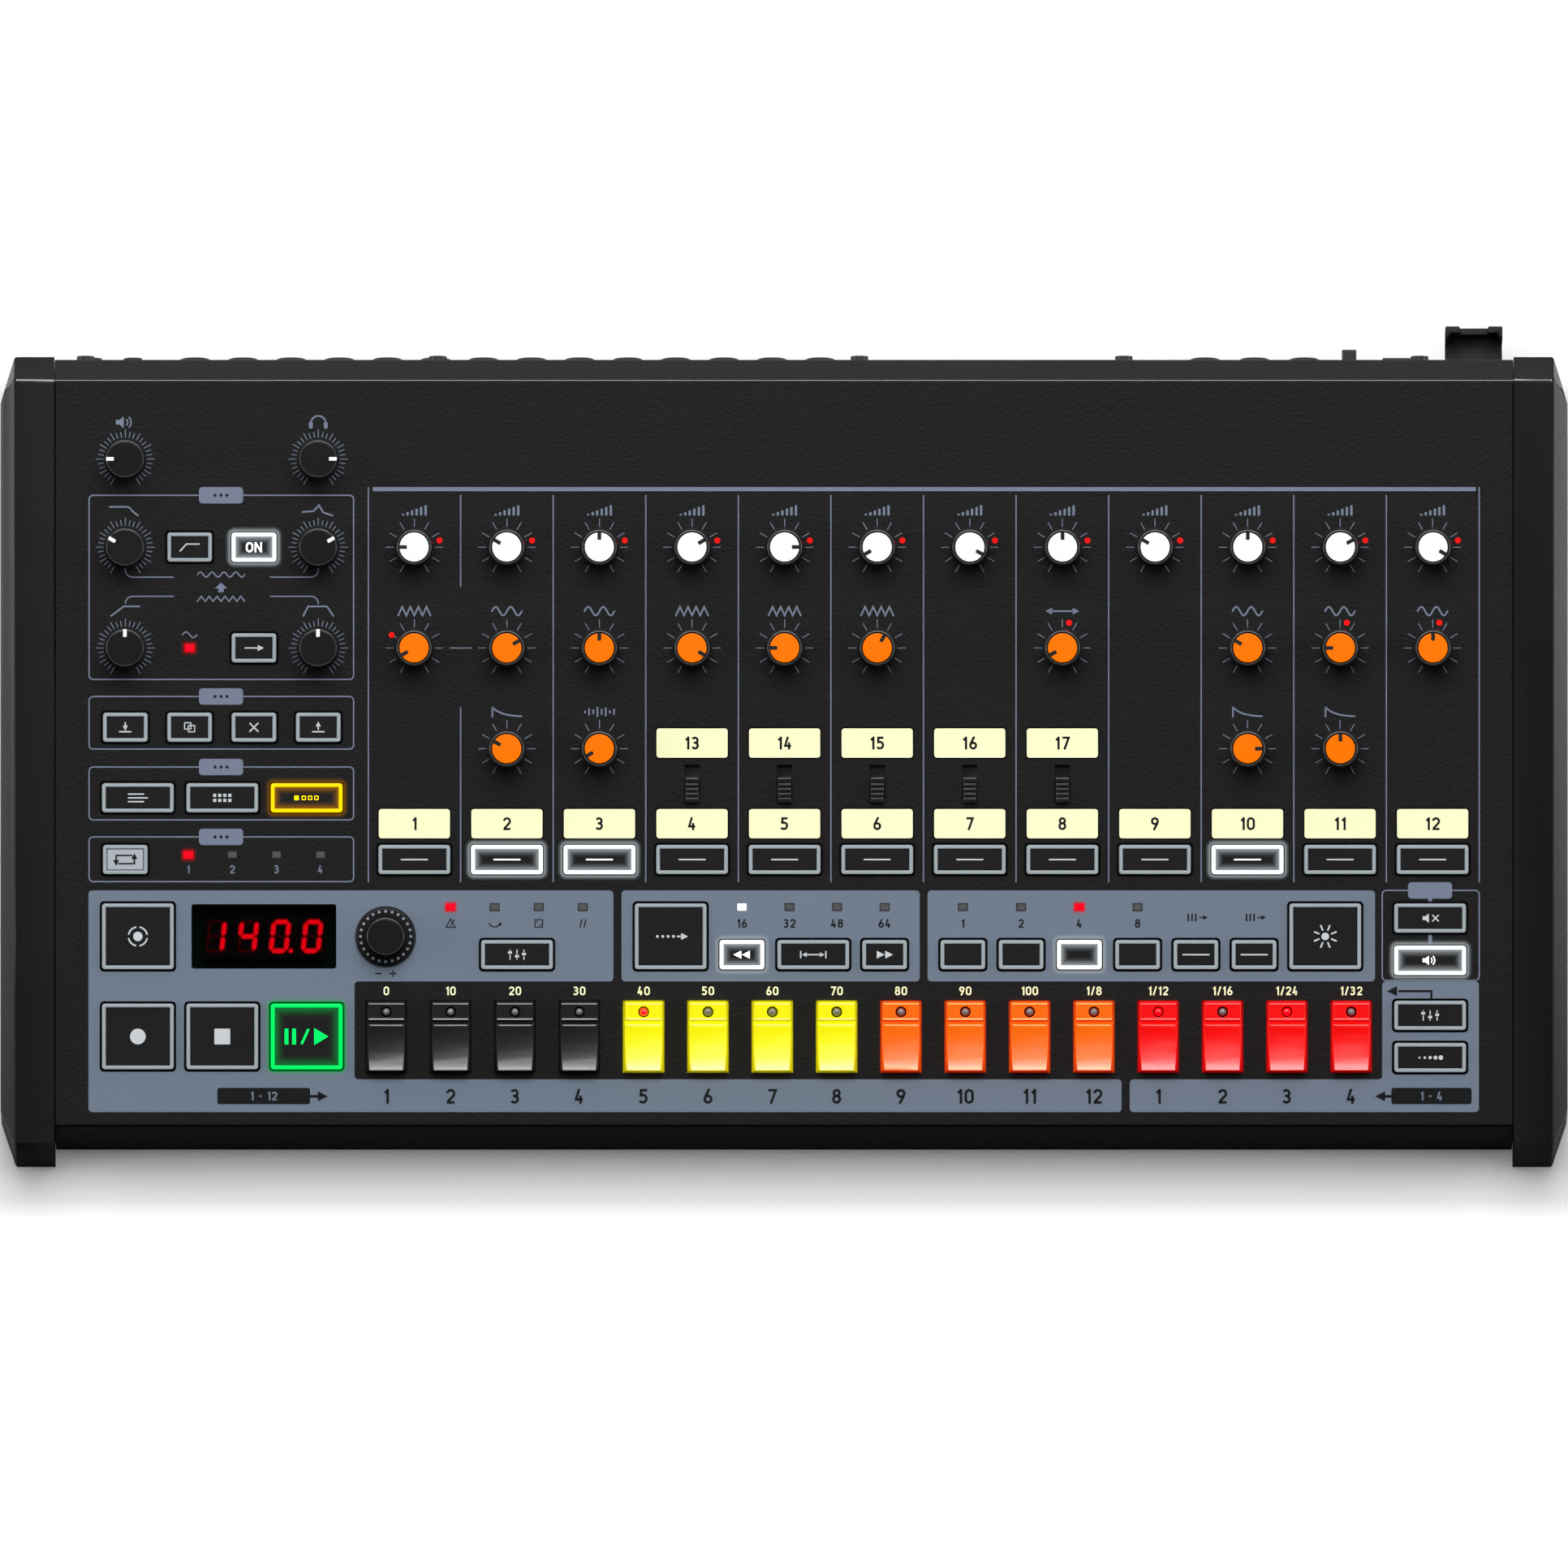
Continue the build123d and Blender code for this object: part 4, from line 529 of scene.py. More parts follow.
def finish(name, colour, roughness, relief=0.0, grain=(1200, 5000, 0.3), drift=0.12, drift_scale=60.0, specular=0.2,
           painted_edge_colour=None, back_gloss=0.0, side_gloss=0.0, painted_flank_glow=None, **sockets):
    """A painted, moulded or plated finish: drifting colour and gloss, and pebbled relief in metres."""
    material, tree, shader = new_material(name)
    mottle_and_painted_light = drifting(tree, colour, drift, drift_scale, painted_edge_colour)
    mottle_and_painted_light.inputs["Roughness"].default_value = roughness
    mottle_and_painted_light.inputs["Roughness Drift"].default_value = GLOSS_DRIFT
    tree.links.new(mottle_and_painted_light.outputs["Colour"], shader.inputs["Base Color"])
    tree.links.new(mottle_and_painted_light.outputs["Roughness"], shader.inputs["Roughness"])
    if back_gloss:
        coat_by_facing(tree, shader, mottle_and_painted_light, colour, back_gloss, side_gloss)
    if painted_flank_glow:
        glow_at_flanks(tree, shader, painted_flank_glow)
    shader.inputs["Specular IOR Level"].default_value = specular
    for label, value in sockets.items():
        shader.inputs[label.replace("_", " ")].default_value = value
    if relief:
        pebbles = add(tree, "ShaderNodeGroup", enumerate(grain), node_tree=GRAIN)
        bump = add(tree, "ShaderNodeBump", [("Height", pebbles.outputs[0]), ("Strength", 1.0), ("Distance", relief)])
        tree.links.new(bump.outputs[0], shader.inputs["Normal"])
    return material


def glowing(name, colour, strength, body, rim=None):
    """A lamp-lit moulding: its own colour, and light from within that is a little uneven. With a rim colour,
    the light runs from that to the main one with the piece's own tone value."""
    material = finish(name, body, 0.35, drift=0.05, specular=0.1)
    tree = material.node_tree
    shader = tree.nodes["Principled BSDF"]
    shader.inputs["Emission Strength"].default_value = strength
    lit = drifting(tree, colour, 0.1, 400.0, rim)
    tree.links.new(lit.outputs["Colour"], shader.inputs["Emission Color"])
    return material


def light_sheet(name, colour):
    """Painted light that spills over a surface: it covers as much as the sheet's own tone value says."""
    material, tree, shader = new_material(name)
    shader.inputs["Base Color"].default_value = (0, 0, 0, 1)
    shader.inputs["Specular IOR Level"].default_value = 0.0
    shader.inputs["Emission Strength"].default_value = 1.0
    lit = drifting(tree, colour, 0.1, 300.0)
    tree.links.new(lit.outputs["Colour"], shader.inputs["Emission Color"])
    tree.links.new(tone_value(tree), shader.inputs["Alpha"])
    return material


POWDER_COAT = finish("grained powder coat", (28, 28, 28), 0.42, 0.00019, PEBBLED, specular=0.08,
                     back_gloss=0.3, Coat_Roughness=0.1)
TRAY_COAT = finish("tray powder coat", (28, 29, 30), 0.5, 0.00006, PEBBLED, specular=0.15)
CHEEK_MOULDING = finish("fine satin moulding", (25, 25, 25), 0.4, 0.00008, (1700, 5000, 0.4), specular=0.1,
                        back_gloss=0.2, side_gloss=0.55, Coat_Roughness=0.15)
BLUE_INK = finish("blue grey ink", (110, 122, 138), 0.5, 0.00003, PEBBLED, drift=0.08, specular=0.1)
LINE_INK = finish("light blue ink", (116, 125, 145), 0.5, drift=0.06, specular=0.1)
BLACK_INK = finish("black ink", (24, 25, 26), 0.45, 0.00003, PEBBLED, specular=0.1)
# Dark rims round the cream plates, and painted shade in the gaps round the buttons and along the cheeks.
RIM_AND_GAP_SHADE = finish("dark rim and painted gap shade", (9, 9, 9), 0.5, specular=0.05)
CREAM_INK = finish("cream ink", (252, 254, 205), 0.45, drift=0.03, specular=0.1)
RED_INK = finish("red ink", (255, 14, 8), 0.45, drift=0.05, specular=0.1)
WHITE_INK = finish("white ink", (202, 207, 211), 0.45, drift=0.04, specular=0.1)
# The edge colour is a painted highlight on the crown of each knob's rim and on its skirt's edge.
BLACK_KNOB = finish("black knob moulding", (25, 25, 25), 0.25, 0.000008, SATIN, specular=0.6,
                    painted_edge_colour=(58, 58, 58))
SKIRT_KNOB = finish("data disc moulding", (22, 22, 23), 0.4, 0.00001, SATIN, specular=0.15)
WHITE_CAP = finish("white cap", (246, 248, 247), 0.3, drift=0.03, specular=0.3)
ORANGE_CAP = finish("orange cap", (255, 119, 1), 0.3, drift=0.04, specular=0.1)
POINTER_MARK = finish("dark pointer mark", (30, 30, 32), 0.45)
WHITE_MARK = finish("white pointer mark", (250, 250, 250), 0.4, drift=0.03)
DOT_MARK = finish("pale dot mark", (140, 147, 158), 0.45, drift=0.05)
# Idle frames take the edge colour as painted shade: darker at their edges than along their crown.
IDLE_FRAME = finish("idle frosted frame", (160, 169, 174), 0.35, drift=0.06, specular=0.2,
                    painted_edge_colour=(104, 111, 117))
BUTTON_FACE = finish("black button face", (32, 32, 33), 0.3, 0.000008, (5000, 9000, 0.6), specular=0.1)
PALE_FACE = finish("pale button face", (172, 179, 186), 0.35, drift=0.06, specular=0.3)
KEY_COAT = {"Coat_Weight": 0.9, "Coat_Roughness": 0.2}
BLACK_KEY = finish("black key moulding", (24, 24, 26), 0.42, drift=0.05, specular=0.2, Coat_Weight=0.95,
                   Coat_Roughness=0.28)
# The coloured keys' flanks carry a painted glow.
YELLOW_KEY = finish("yellow key moulding", (255, 249, 0), 0.42, drift=0.05, specular=0.15,
                    painted_flank_glow=(235, 215, 0), **KEY_COAT)
ORANGE_KEY = finish("orange key moulding", (255, 108, 0), 0.42, drift=0.05, specular=0.15,
                    painted_flank_glow=(255, 52, 0), **KEY_COAT)
RED_KEY = finish("red key moulding", (252, 0, 0), 0.42, drift=0.05, specular=0.15,
                 painted_flank_glow=(215, 0, 0), **KEY_COAT)
# Painted highlights for the keys' edges.
KEY_HIGHLIGHT_BLACK = finish("black key painted highlight", (168, 168, 170), 0.3, drift=0.3, drift_scale=300)
KEY_HIGHLIGHT_YELLOW = finish("yellow key painted highlight", (255, 253, 150), 0.3, drift=0.1, drift_scale=300)
KEY_HIGHLIGHT_ORANGE = finish("orange key painted highlight", (255, 205, 130), 0.3, drift=0.1, drift_scale=300)
KEY_HIGHLIGHT_RED = finish("red key painted highlight", (255, 120, 120), 0.3, drift=0.1, drift_scale=300)
SLIDER_MOULDING = finish("slider moulding", (17, 17, 18), 0.3, 0.00001, SATIN, specular=0.8)
# Unlit square lamps are darker on their walls and soft edge, and unlit domes darker towards their base: painted
# shade.
LAMP_OFF = finish("unlit lamp", (84, 84, 84), 0.3, drift=0.15, drift_scale=600, painted_edge_colour=(52, 52, 53))
DOME_OFF = finish("unlit dome", (122, 122, 124), 0.25, drift=0.2, drift_scale=500, specular=0.5, Coat_Weight=1.0,
                  painted_edge_colour=(30, 30, 30))
DOME_LIT = finish("lit dome glass", (255, 10, 20), 0.1, drift=0.05, specular=0.5, Emission_Strength=0.9,
                  Emission_Color=linear(255, 0, 24), Coat_Weight=1.0)
# Painted shade: the black of the sheets under the buttons.
GAP_SHADE_BLACK = finish("painted shade under buttons", (6, 6, 7), 0.6, specular=0.05)
JACK_MOULDING = finish("jack moulding", (38, 39, 40), 0.35, 0.00001, SATIN)
HOOK_MOULDING = finish("hook moulding", (24, 24, 25), 0.4, 0.00002, (2600, 7000, 0.5))
FOOT_RUBBER = finish("foot rubber", (22, 22, 23), 0.75, 0.00004, (1800, 5000, 0.5))
SCREW_STEEL = finish("black zinc screw", (70, 70, 74), 0.35, drift=0.2, drift_scale=900, Metallic=1.0)
PLATED = finish("nickel plate", (196, 194, 190), 0.28, drift=0.1, drift_scale=500, Metallic=1.0)
BOARD = finish("solder mask", (22, 74, 46), 0.35, drift=0.15, drift_scale=300, Coat_Weight=0.3)
MODULE = finish("display module", (3, 3, 3), 0.4, specular=0.05)
DISPLAY_FACE = finish("display face", (30, 22, 22), 0.4, specular=0.05)
SEGMENT_OFF = finish("unlit segment", (120, 4, 8), 0.4, drift=0.05, specular=0.05)

WHITE_FRAME = glowing("white lit frame", (255, 255, 255), 1.0, (150, 154, 156), (190, 194, 196))
YELLOW_FRAME = glowing("yellow lit frame", (255, 222, 0), 0.95, (130, 110, 0), (190, 150, 0))
GREEN_FRAME = glowing("green lit frame", (0, 255, 98), 0.95, (0, 110, 46), (0, 180, 80))
WHITE_LIGHT = glowing("white light", (255, 255, 255), 1.0, (235, 238, 240))
YELLOW_LIGHT = glowing("yellow light", (255, 214, 0), 0.75, (230, 200, 0))
GREEN_LIGHT = glowing("green light", (0, 255, 98), 0.75, (0, 200, 80))
RED_LIGHT = glowing("red light", (255, 0, 30), 0.9, (200, 0, 16))
SEGMENT_LIGHT = glowing("lit segment", (255, 0, 22), 2.2, (200, 10, 20))
# Sheets of painted light round lit frames and lamps.
WHITE_SPILL = light_sheet("white spill", (205, 215, 220))
YELLOW_SPILL = light_sheet("yellow spill", (230, 150, 0))
GREEN_SPILL = light_sheet("green spill", (0, 205, 90))
RED_SPILL = light_sheet("red spill", (235, 10, 20))


def smoked_window():
    """Smoked acrylic over the display: nearly black and partly clear."""
    material = finish("smoked window", (2, 2, 2), 0.1, drift=0.2, specular=0.1)
    shader = material.node_tree.nodes["Principled BSDF"]
    shader.inputs["Alpha"].default_value = 0.45
    return material


SMOKED = smoked_window()


# ------------------------------------------------------------------ placing pieces
def placed(points, origin, right, up, out):
    """Local (x, v, w) points in millimetres as metres in the row frame."""
    return (origin + points @ np.stack([right, up, out])) * MM


def make_piece(name, shape, body, material, replaces=(), sharp=34.0, tones=None):
    """One mesh piece from a shape: merged, turned outwards, smooth but for its sharp edges. The tones of
    its points, if given, are kept as an attribute for its finish."""
    points, quads, caps = shape
    mesh = bpy.data.meshes.new(name)
    mesh.from_pydata(placed(points, BEND, RIGHT, UP, OUT), [], [*quads.tolist(), *[cap.tolist() for cap in caps]])
    if tones is not None:
        mesh.attributes.new("tone", "FLOAT", "POINT").data.foreach_set("value", np.array(tones, dtype=np.float32))
    return finish_piece(name, mesh, body, material, replaces, sharp)


def finish_piece(name, mesh, body, material, replaces, sharp):
    """Merges a mesh's doubles, faces it outwards, and hangs it on its body with its finish."""
    edit = bmesh.new()
    edit.from_mesh(mesh)
    bmesh.ops.remove_doubles(edit, verts=edit.verts, dist=1e-7)
    bmesh.ops.recalc_face_normals(edit, faces=edit.faces)
    edit.to_mesh(mesh)
    edit.free()
    mesh.polygons.foreach_set("use_smooth", np.ones(len(mesh.polygons), dtype=bool))
    mesh.set_sharp_from_angle(angle=math.radians(sharp))
    mesh.materials.clear()
    mesh.materials.append(material)
    piece = new_object(name, mesh)
    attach(piece, body)
    if replaces:
        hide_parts(*replaces)
    return piece


def ease_crest(edit, ease):
    """Rounds the fold across a mesh's highest point."""
    top = max(edit.verts, key=lambda corner: corner.co.z).co
    fold = [edge for edge in edit.edges if all((corner.co - top).yz.length < ease for corner in edge.verts)
            and edge.calc_face_angle(0.0) > math.radians(15)]
    bmesh.ops.bevel(edit, geom=fold, offset=ease, segments=4, profile=0.5, affect="EDGES", clamp_overlap=False)


def eased_copy(node, name, body, material, ease, crest=0.0):
    """A copy of a CAD node, merged into whole faces, with its edges eased by a small bevel in metres, and
    the fold across its top by its own."""
    mesh = frame["nodes"][node].data.copy()
    edit = bmesh.new()
    edit.from_mesh(mesh)
    bmesh.ops.remove_doubles(edit, verts=edit.verts, dist=2e-6)
    bmesh.ops.dissolve_limit(edit, angle_limit=math.radians(0.5), verts=edit.verts, edges=edit.edges)
    if crest:
        ease_crest(edit, crest)
    edit.to_mesh(mesh)
    edit.free()
    piece = finish_piece(name, mesh, body, material, (node,), 30.0)
    bevel = piece.modifiers.new("eased edges", "BEVEL")
    bevel.width = ease
    bevel.segments = 3
    bevel.limit_method = "ANGLE"
    bevel.angle_limit = math.radians(40)
    bevel.harden_normals = True
    return piece


def dress(node, material):
    """A CAD node that keeps its shape gets its finish."""
    slots = frame["nodes"][node].material_slots
    for slot in slots:
        slot.material = material
    if not slots:
        frame["nodes"][node].data.materials.append(material)


# ------------------------------------------------------------------ case
def dress_case():
    """The finishes of the case and of what stands through its walls, with eased edges where they show."""
    finishes = {
        "top_panel": POWDER_COAT, "base_tray": TRAY_COAT, "case_screws": SCREW_STEEL, "circuit_boards": BOARD,
        "pot_bodies": PLATED, "switch_bodies": SLIDER_MOULDING, "display_module": MODULE,
        "power_switch_body": SLIDER_MOULDING,
    }
    for node, material in finishes.items():
        dress(node, material)
    for side in ("left", "right"):
        eased_copy(f"{side}_cheek", f"{side}_cheek_eased", "chassis", CHEEK_MOULDING, 0.0004, 0.0009)
    eased = (
        ("rubber_feet", "rubber_feet", "chassis", FOOT_RUBBER, "foot_rubber", 0.0006),
        ("audio_jacks", "audio_jacks", "chassis", JACK_MOULDING, "jack_black", 0.0002),
        ("midi_sockets", "din_sockets", "chassis", JACK_MOULDING, "jack_black", 0.0001),
        ("usb_socket", "usb_socket", "chassis", PLATED, "socket_metal", 0.0002),
        ("power_inlet", "power_inlet", "chassis", JACK_MOULDING, "jack_black", 0.0002),
        ("cable_hook", "cable_hook", "chassis", HOOK_MOULDING, "hook_grey", 0.0004),
        ("power_switch_lever", "power_lever", "power_lever", SLIDER_MOULDING, "switch_black", 0.0003),
        ("slide_switch_tips", "slider_tips", "slider_group", SLIDER_MOULDING, "switch_black", 0.0002),
    )
    for node, name, body, material, slot, ease in eased:
        eased_copy(node, f"{name}_eased", body, material, ease)


# ------------------------------------------------------------------ knobs
# Tone 0 takes the knob's painted highlight colour, and 1 its own colour.
def knob_rows(top, rim, crown_tone):
    """(radius, height, fluted, tone) from the floor inside the rim, up over its crown, a quarter circle
    outwards, down the grip from its top radius to the skirt and back up inside."""
    skirt = KNOB_SKIRT_RADIUS
    crown = 0.75 * (top - rim)
    t = np.linspace(0, math.pi / 2, 7)
    over = np.column_stack([top - crown + crown * np.sin(t), KNOB_TOP - crown + crown * np.cos(t), 0 * t,
                            crown_tone + (1 - crown_tone) * (t / t[-1]) ** 2])
    return [
        (rim * 0.5, KNOB_TOP - 0.6, 0, 1), (rim, KNOB_TOP - 0.6, 0, 1), (rim, KNOB_TOP - 0.12, 0, 1),
        (rim + 0.04, KNOB_TOP - 0.03, 0, crown_tone), *over, (top, KNOB_TOP - 0.9, 0, 1),
        (top, KNOB_TOP - 1.2, 1, 1), (top + 0.12, 4.4, 1, 1), (top + 0.14, 4.0, 0, 1),
        (skirt - 0.25, 3.4, 0, 0.7), (skirt - 0.06, 3.1, 0, 0.5), (skirt, 2.8, 0, 1), (skirt, 1.1, 0, 1),
        (skirt - 0.1, KNOB_GAP, 0, 1), (skirt - 1.0, KNOB_GAP, 0, 1), (skirt - 1.0, KNOB_TOP - 2.0, 0, 1),
        (skirt - 4.5, KNOB_TOP - 2.0, 0, 1),
    ]


def knob_body(top, rim, crown_tone):
    """A knob's shell, with a fluted grip, and the tones of its points, which set where its painted highlight shows.
    """
    rows = np.array(knob_rows(top, rim, crown_tone), dtype=float)
    return turned(rows[:, :2], KNOB_STEPS, 36, 0.2, rows[:, 2]), np.repeat(rows[:, 3], KNOB_STEPS)


def disc_top(radius, low, high, edge):
    """A round disc with a softly rounded upper edge."""
    return turned([(radius, low), (radius, high - edge), (radius - edge * 0.3, high - edge * 0.3),
                   (radius - edge, high), (radius - edge * 2, high), (radius * 0.4, high)], 96)


def bar(width, near, far, low, high):
    """A straight bar lying up the v axis from near to far."""
    corner = width * 0.15
    return moved(plate(rounded(width, far - near, corner), low, high), 0, (near + far) / 2)


def knob_lid():
    """The flat top inside a plain knob's rim."""
    return disc_top(PLAIN_RIM_RADIUS - 0.07, KNOB_TOP - 0.7, KNOB_TOP - 0.04, 0.06)


def is_capped(name):
    return name.startswith(("level", "tone", "decay"))


def dress_knobs():
    """Each knob: its shell, its cap or flat top, and its pointer, turned to where the CAD pointer stands."""
    capped, capped_tones = knob_body(CAPPED_TOP_RADIUS, CAPPED_RIM_RADIUS, 0.0)
    plain, plain_tones = knob_body(PLAIN_TOP_RADIUS, PLAIN_RIM_RADIUS, PLAIN_CROWN_TONE)
    cap = disc_top(CAP_RADIUS, KNOB_TOP - 0.7, KNOB_TOP, 0.12)
    lid = knob_lid()
    notch = bar(1.2, 2.3, CAP_RADIUS + 0.1, KNOB_TOP - 0.3, KNOB_TOP + 0.03)
    mark = bar(1.15, 3.5, 5.95, KNOB_TOP - 0.3, KNOB_TOP + 0.04)
    for name, limits in knob_limits().items():
        x, v = panel_place(name)
        turn = sum(limits) / 2
        if is_capped(name):
            white = name.startswith("level")
            pieces = (("shell", capped, BLACK_KNOB, capped_tones),
                      ("cap", cap, WHITE_CAP if white else ORANGE_CAP, None), ("pointer", notch, POINTER_MARK, None))
        else:
            pieces = (("shell", plain, BLACK_KNOB, plain_tones), ("lid", lid, BLACK_KNOB, np.ones(len(lid[0]))),
                      ("pointer", mark, WHITE_MARK, None))
        for part, shape, material, tones in pieces:
            stands_for = (name,) if part == "shell" else ()
            make_piece(f"{name}_{part}", moved(shape, x, v, 0, turn), f"{name}_body", material, stands_for,
                       tones=tones)


def knob_limits():
    """Each turning knob's limits in degrees; their middle is minus the pointer's anticlockwise place."""
    return {name.removesuffix("_turn"): joint["range_deg"] for name, joint in JOINTS.items()
            if joint["type"] == "hinge" and not joint.get("continuous")}


def dress_data_knob():
    """The data knob: a low bevelled disc ringed by pale dots, and a smooth black knob on it."""
    edge = DATA_DISC_RADIUS
    top = DATA_DISC_TOP
    disc = turned([(6.3, top - 0.5), (6.3, top - 0.02), (6.5, top), (edge - 1.0, top), (edge - 0.7, top - 0.06),
                   (edge - 0.25, top - 0.4), (edge - 0.04, top - 0.9), (edge, top - 1.2), (edge, KNOB_GAP + 0.1),
                   (edge - 0.1, KNOB_GAP), (6.3, KNOB_GAP)], 144)
    knob, knob_tones = knob_body(PLAIN_TOP_RADIUS, PLAIN_RIM_RADIUS, PLAIN_CROWN_TONE)
    lid = knob_lid()
    t = np.linspace(0, 2 * math.pi, 24, endpoint=False)
    dot = plate(circle(0.45, 20), top - 0.1, top + 0.03)
    dots = together(moved(dot, 8.0 * math.sin(a), 8.0 * math.cos(a)) for a in t)
    pieces = (("disc", disc, SKIRT_KNOB, None), ("shell", knob, BLACK_KNOB, knob_tones),
              ("lid", lid, BLACK_KNOB, np.ones(len(lid[0]))), ("dots", dots, DOT_MARK, None))
    for part, shape, material, tones in pieces:
        stands_for = ("data_knob",) if part == "shell" else ()
        make_piece(f"data_knob_{part}", moved(shape, DATA_X, TRANSPORT_ROW_V), "data_knob_body", material,
                   stands_for, tones=tones)


# ------------------------------------------------------------------ pictograms
# Each is a list of flat outlines round (0, 0), in millimetres.
def line(path, width=LINE_WIDTH):
    return [stroke_outline(path, width)]


def dot(x, y, radius):
    return [circle(radius, 24) + (x, y)]


def bar_at(x, y, width, height, corner=0.1):
    """A filled upright bar."""
    return [rounded(width, height, corner, 3) + (x, y)]


def box_outline(width, height, x=0.0, y=0.0, thick=LINE_WIDTH):
    """A rectangle drawn as four strokes."""
    w, h = width / 2, height / 2
    corners = [(x - w, y - h), (x + w, y - h), (x + w, y + h), (x - w, y + h)]
    return [stroke_outline([a, b], thick) for a, b in zip(corners, corners[1:] + corners[:1])]


def arrow_head(x, y, size, turn):
    """A filled triangle that points up, turned clockwise."""
    a = math.radians(turn)
    points = np.array([(0, size * 0.6), (-size / 2, -size * 0.4), (size / 2, -size * 0.4)])
    spin = np.array([[math.cos(a), -math.sin(a)], [math.sin(a), math.cos(a)]])
    return [points @ spin + (x, y)]


def wave(width=7.6, height=1.1, turns=2):
    """A sine line."""
    t = np.linspace(0, 1, 40)
    return line(np.column_stack([(t - 0.5) * width, height * np.sin(2 * math.pi * turns * t)]))


def zigzag(width=8.2, height=1.1, teeth=4):
    """A line that runs between two heights by straight steps."""
    x = np.linspace(-width / 2, width / 2, 2 * teeth + 1)
    return line(np.column_stack([x, height * np.where(np.arange(len(x)) % 2, 1, -1)]))


def falling_curve(width, height):
    """A sharp rise, then an exponential fall."""
    t = np.linspace(0, 1, 24)
    fall = np.column_stack([(t - 0.5) * width, height * (np.exp(-3.2 * t) - 0.5)])
    return line(fall) + line([(-width / 2, -height / 2), (-width / 2, height * 0.5)])


def speaker(waves):
    """A loudspeaker's side view with this many waves before it."""
    shapes = [np.array([(-2.4, -0.6), (-1.5, -0.6), (-0.4, -1.5), (-0.4, 1.5), (-1.5, 0.6), (-2.4, 0.6)])]
    for i in range(waves):
        shapes += line(arc(-0.4, 0, 1.0 + 0.85 * i, -42, 42, 10), 0.36)
    return shapes


def double_arrow(side):
    """Two arrow heads that point to one side, -1 or 1."""
    return arrow_head(-1.5 * side, 0, 2.5, 90 * side) + arrow_head(1.2 * side, 0, 2.5, 90 * side)


def in_row(count, pitch, make):
    """What make(i, x) gives at each of count places of this pitch, centred on 0."""
    return [shape for i in range(count) for shape in make(i, (i - (count - 1) / 2) * pitch)]


def slider(x, height):
    """A slider's track above and below its tip."""
    track = line([(x, -1.5), (x, height - 0.75)], THIN_LINE) + line([(x, height + 0.75), (x, 1.5)], THIN_LINE)
    return track + bar_at(x, height, 1.3, 0.8, 0.2)


def ray(angle):
    """One stroke of a star, away from its middle."""
    side = np.array([math.cos(angle), math.sin(angle)])
    return line([2.2 * side, 3.7 * side], BOLD_LINE)


RISING_BARS = in_row(6, 1.15, lambda i, x: bar_at(x, 1.3 * ((i + 1) / 6 - 1), 0.6, 2.6 * (i + 1) / 6))
WAVE = wave()
ZIGZAG = zigzag()
FALLING_CURVE = falling_curve(7.4, 2.4)
BURST_HEIGHTS = (0.7, 1.8, 1.2, 2.6, 1.5, 2.2, 0.9, 1.6)
BURST = in_row(8, 1.05, lambda i, x: bar_at(x, 0, 0.42, BURST_HEIGHTS[i]))
SHIFT_MARK = line([(-2.9, 0), (2.9, 0)]) + arrow_head(3.3, 0, 1.7, 90) + arrow_head(-3.3, 0, 1.7, -90)
LOW_PASS = line(np.vstack([[(-4, 0.9), (0.2, 0.9)], arc(0.2, -0.7, 1.6, 80, 22, 8), [(3.2, -1.3)]]))
PEAK = line([(-4, -0.4), (-1.2, -0.2), (0.2, 1.3), (1.2, -0.5), (3.6, -1.3)])
RAMP_UP = line([(-3.6, -1.2), (-0.4, 1.2), (3.6, 1.2)])
PLATEAU = line([(-3.8, -1.2), (-2.6, 1.2), (2.2, 1.2), (3.8, -1.2)])
SPEAKER = speaker(2)
MUTED_SPEAKER = (speaker(0) + line([(0.8, -0.9), (2.6, 0.9)]) + line([(0.8, 0.9), (1.4, 0.3)])
                 + line([(2.0, -0.3), (2.6, -0.9)]))
HEADPHONES = line(arc(0, -0.3, 1.9, 8, 172, 16)) + [rounded(0.95, 1.7, 0.3, 4) + (x, -0.75) for x in (1.9, -1.9)]
HIGH_PASS = line([(-3, -1.2), (-1, 1.0), (3, 1.0)])
SEND_ARROW = line([(-2.8, 0), (1.4, 0)]) + arrow_head(2.0, 0, 2.0, 90)
SHORT_FLOOR = line([(-1.8, -1.4), (1.8, -1.4)])
STORE_MARK = line([(0, 1.5), (0, 0.2)]) + arrow_head(0, -0.1, 1.6, 180) + SHORT_FLOOR
LIFT_MARK = line([(0, -0.6), (0, 0.4)]) + arrow_head(0, 0.9, 1.6, 0) + SHORT_FLOOR
COPY_MARK = box_outline(2.0, 2.0, -0.6, 0.45, THIN_LINE) + box_outline(2.0, 2.0, 0.6, -0.45, THIN_LINE)
CROSS_MARK = line([(-1.3, -1.3), (1.3, 1.3)]) + line([(-1.3, 1.3), (-0.3, 0.3)]) + line([(0.3, -0.3), (1.3, -1.3)])
LIST_LINES = in_row(3, 1.2, lambda i, y: line([(-3, y), (3 - abs(y), y)]))
GRID_SQUARES = in_row(4, 1.6, lambda i, x: in_row(2, 1.6, lambda j, y: bar_at(x, y, 1.0, 1.0)))
STEP_SQUARES = bar_at(-3.2, 0, 1.5, 1.5, 0.15) + in_row(3, 2.0, lambda i, x: box_outline(1.1, 1.1, x + 1.1, 0, 0.3))
LOOP_ARROWS = (line([(-2.9, -0.6), (-2.9, 1.3), (2.1, 1.3)], BOLD_LINE)
               + line([(2.9, 0.6), (2.9, -1.3), (-2.1, -1.3)], BOLD_LINE)
               + arrow_head(-2.9, -0.9, 1.9, 180) + arrow_head(2.9, 0.9, 1.9, 0))
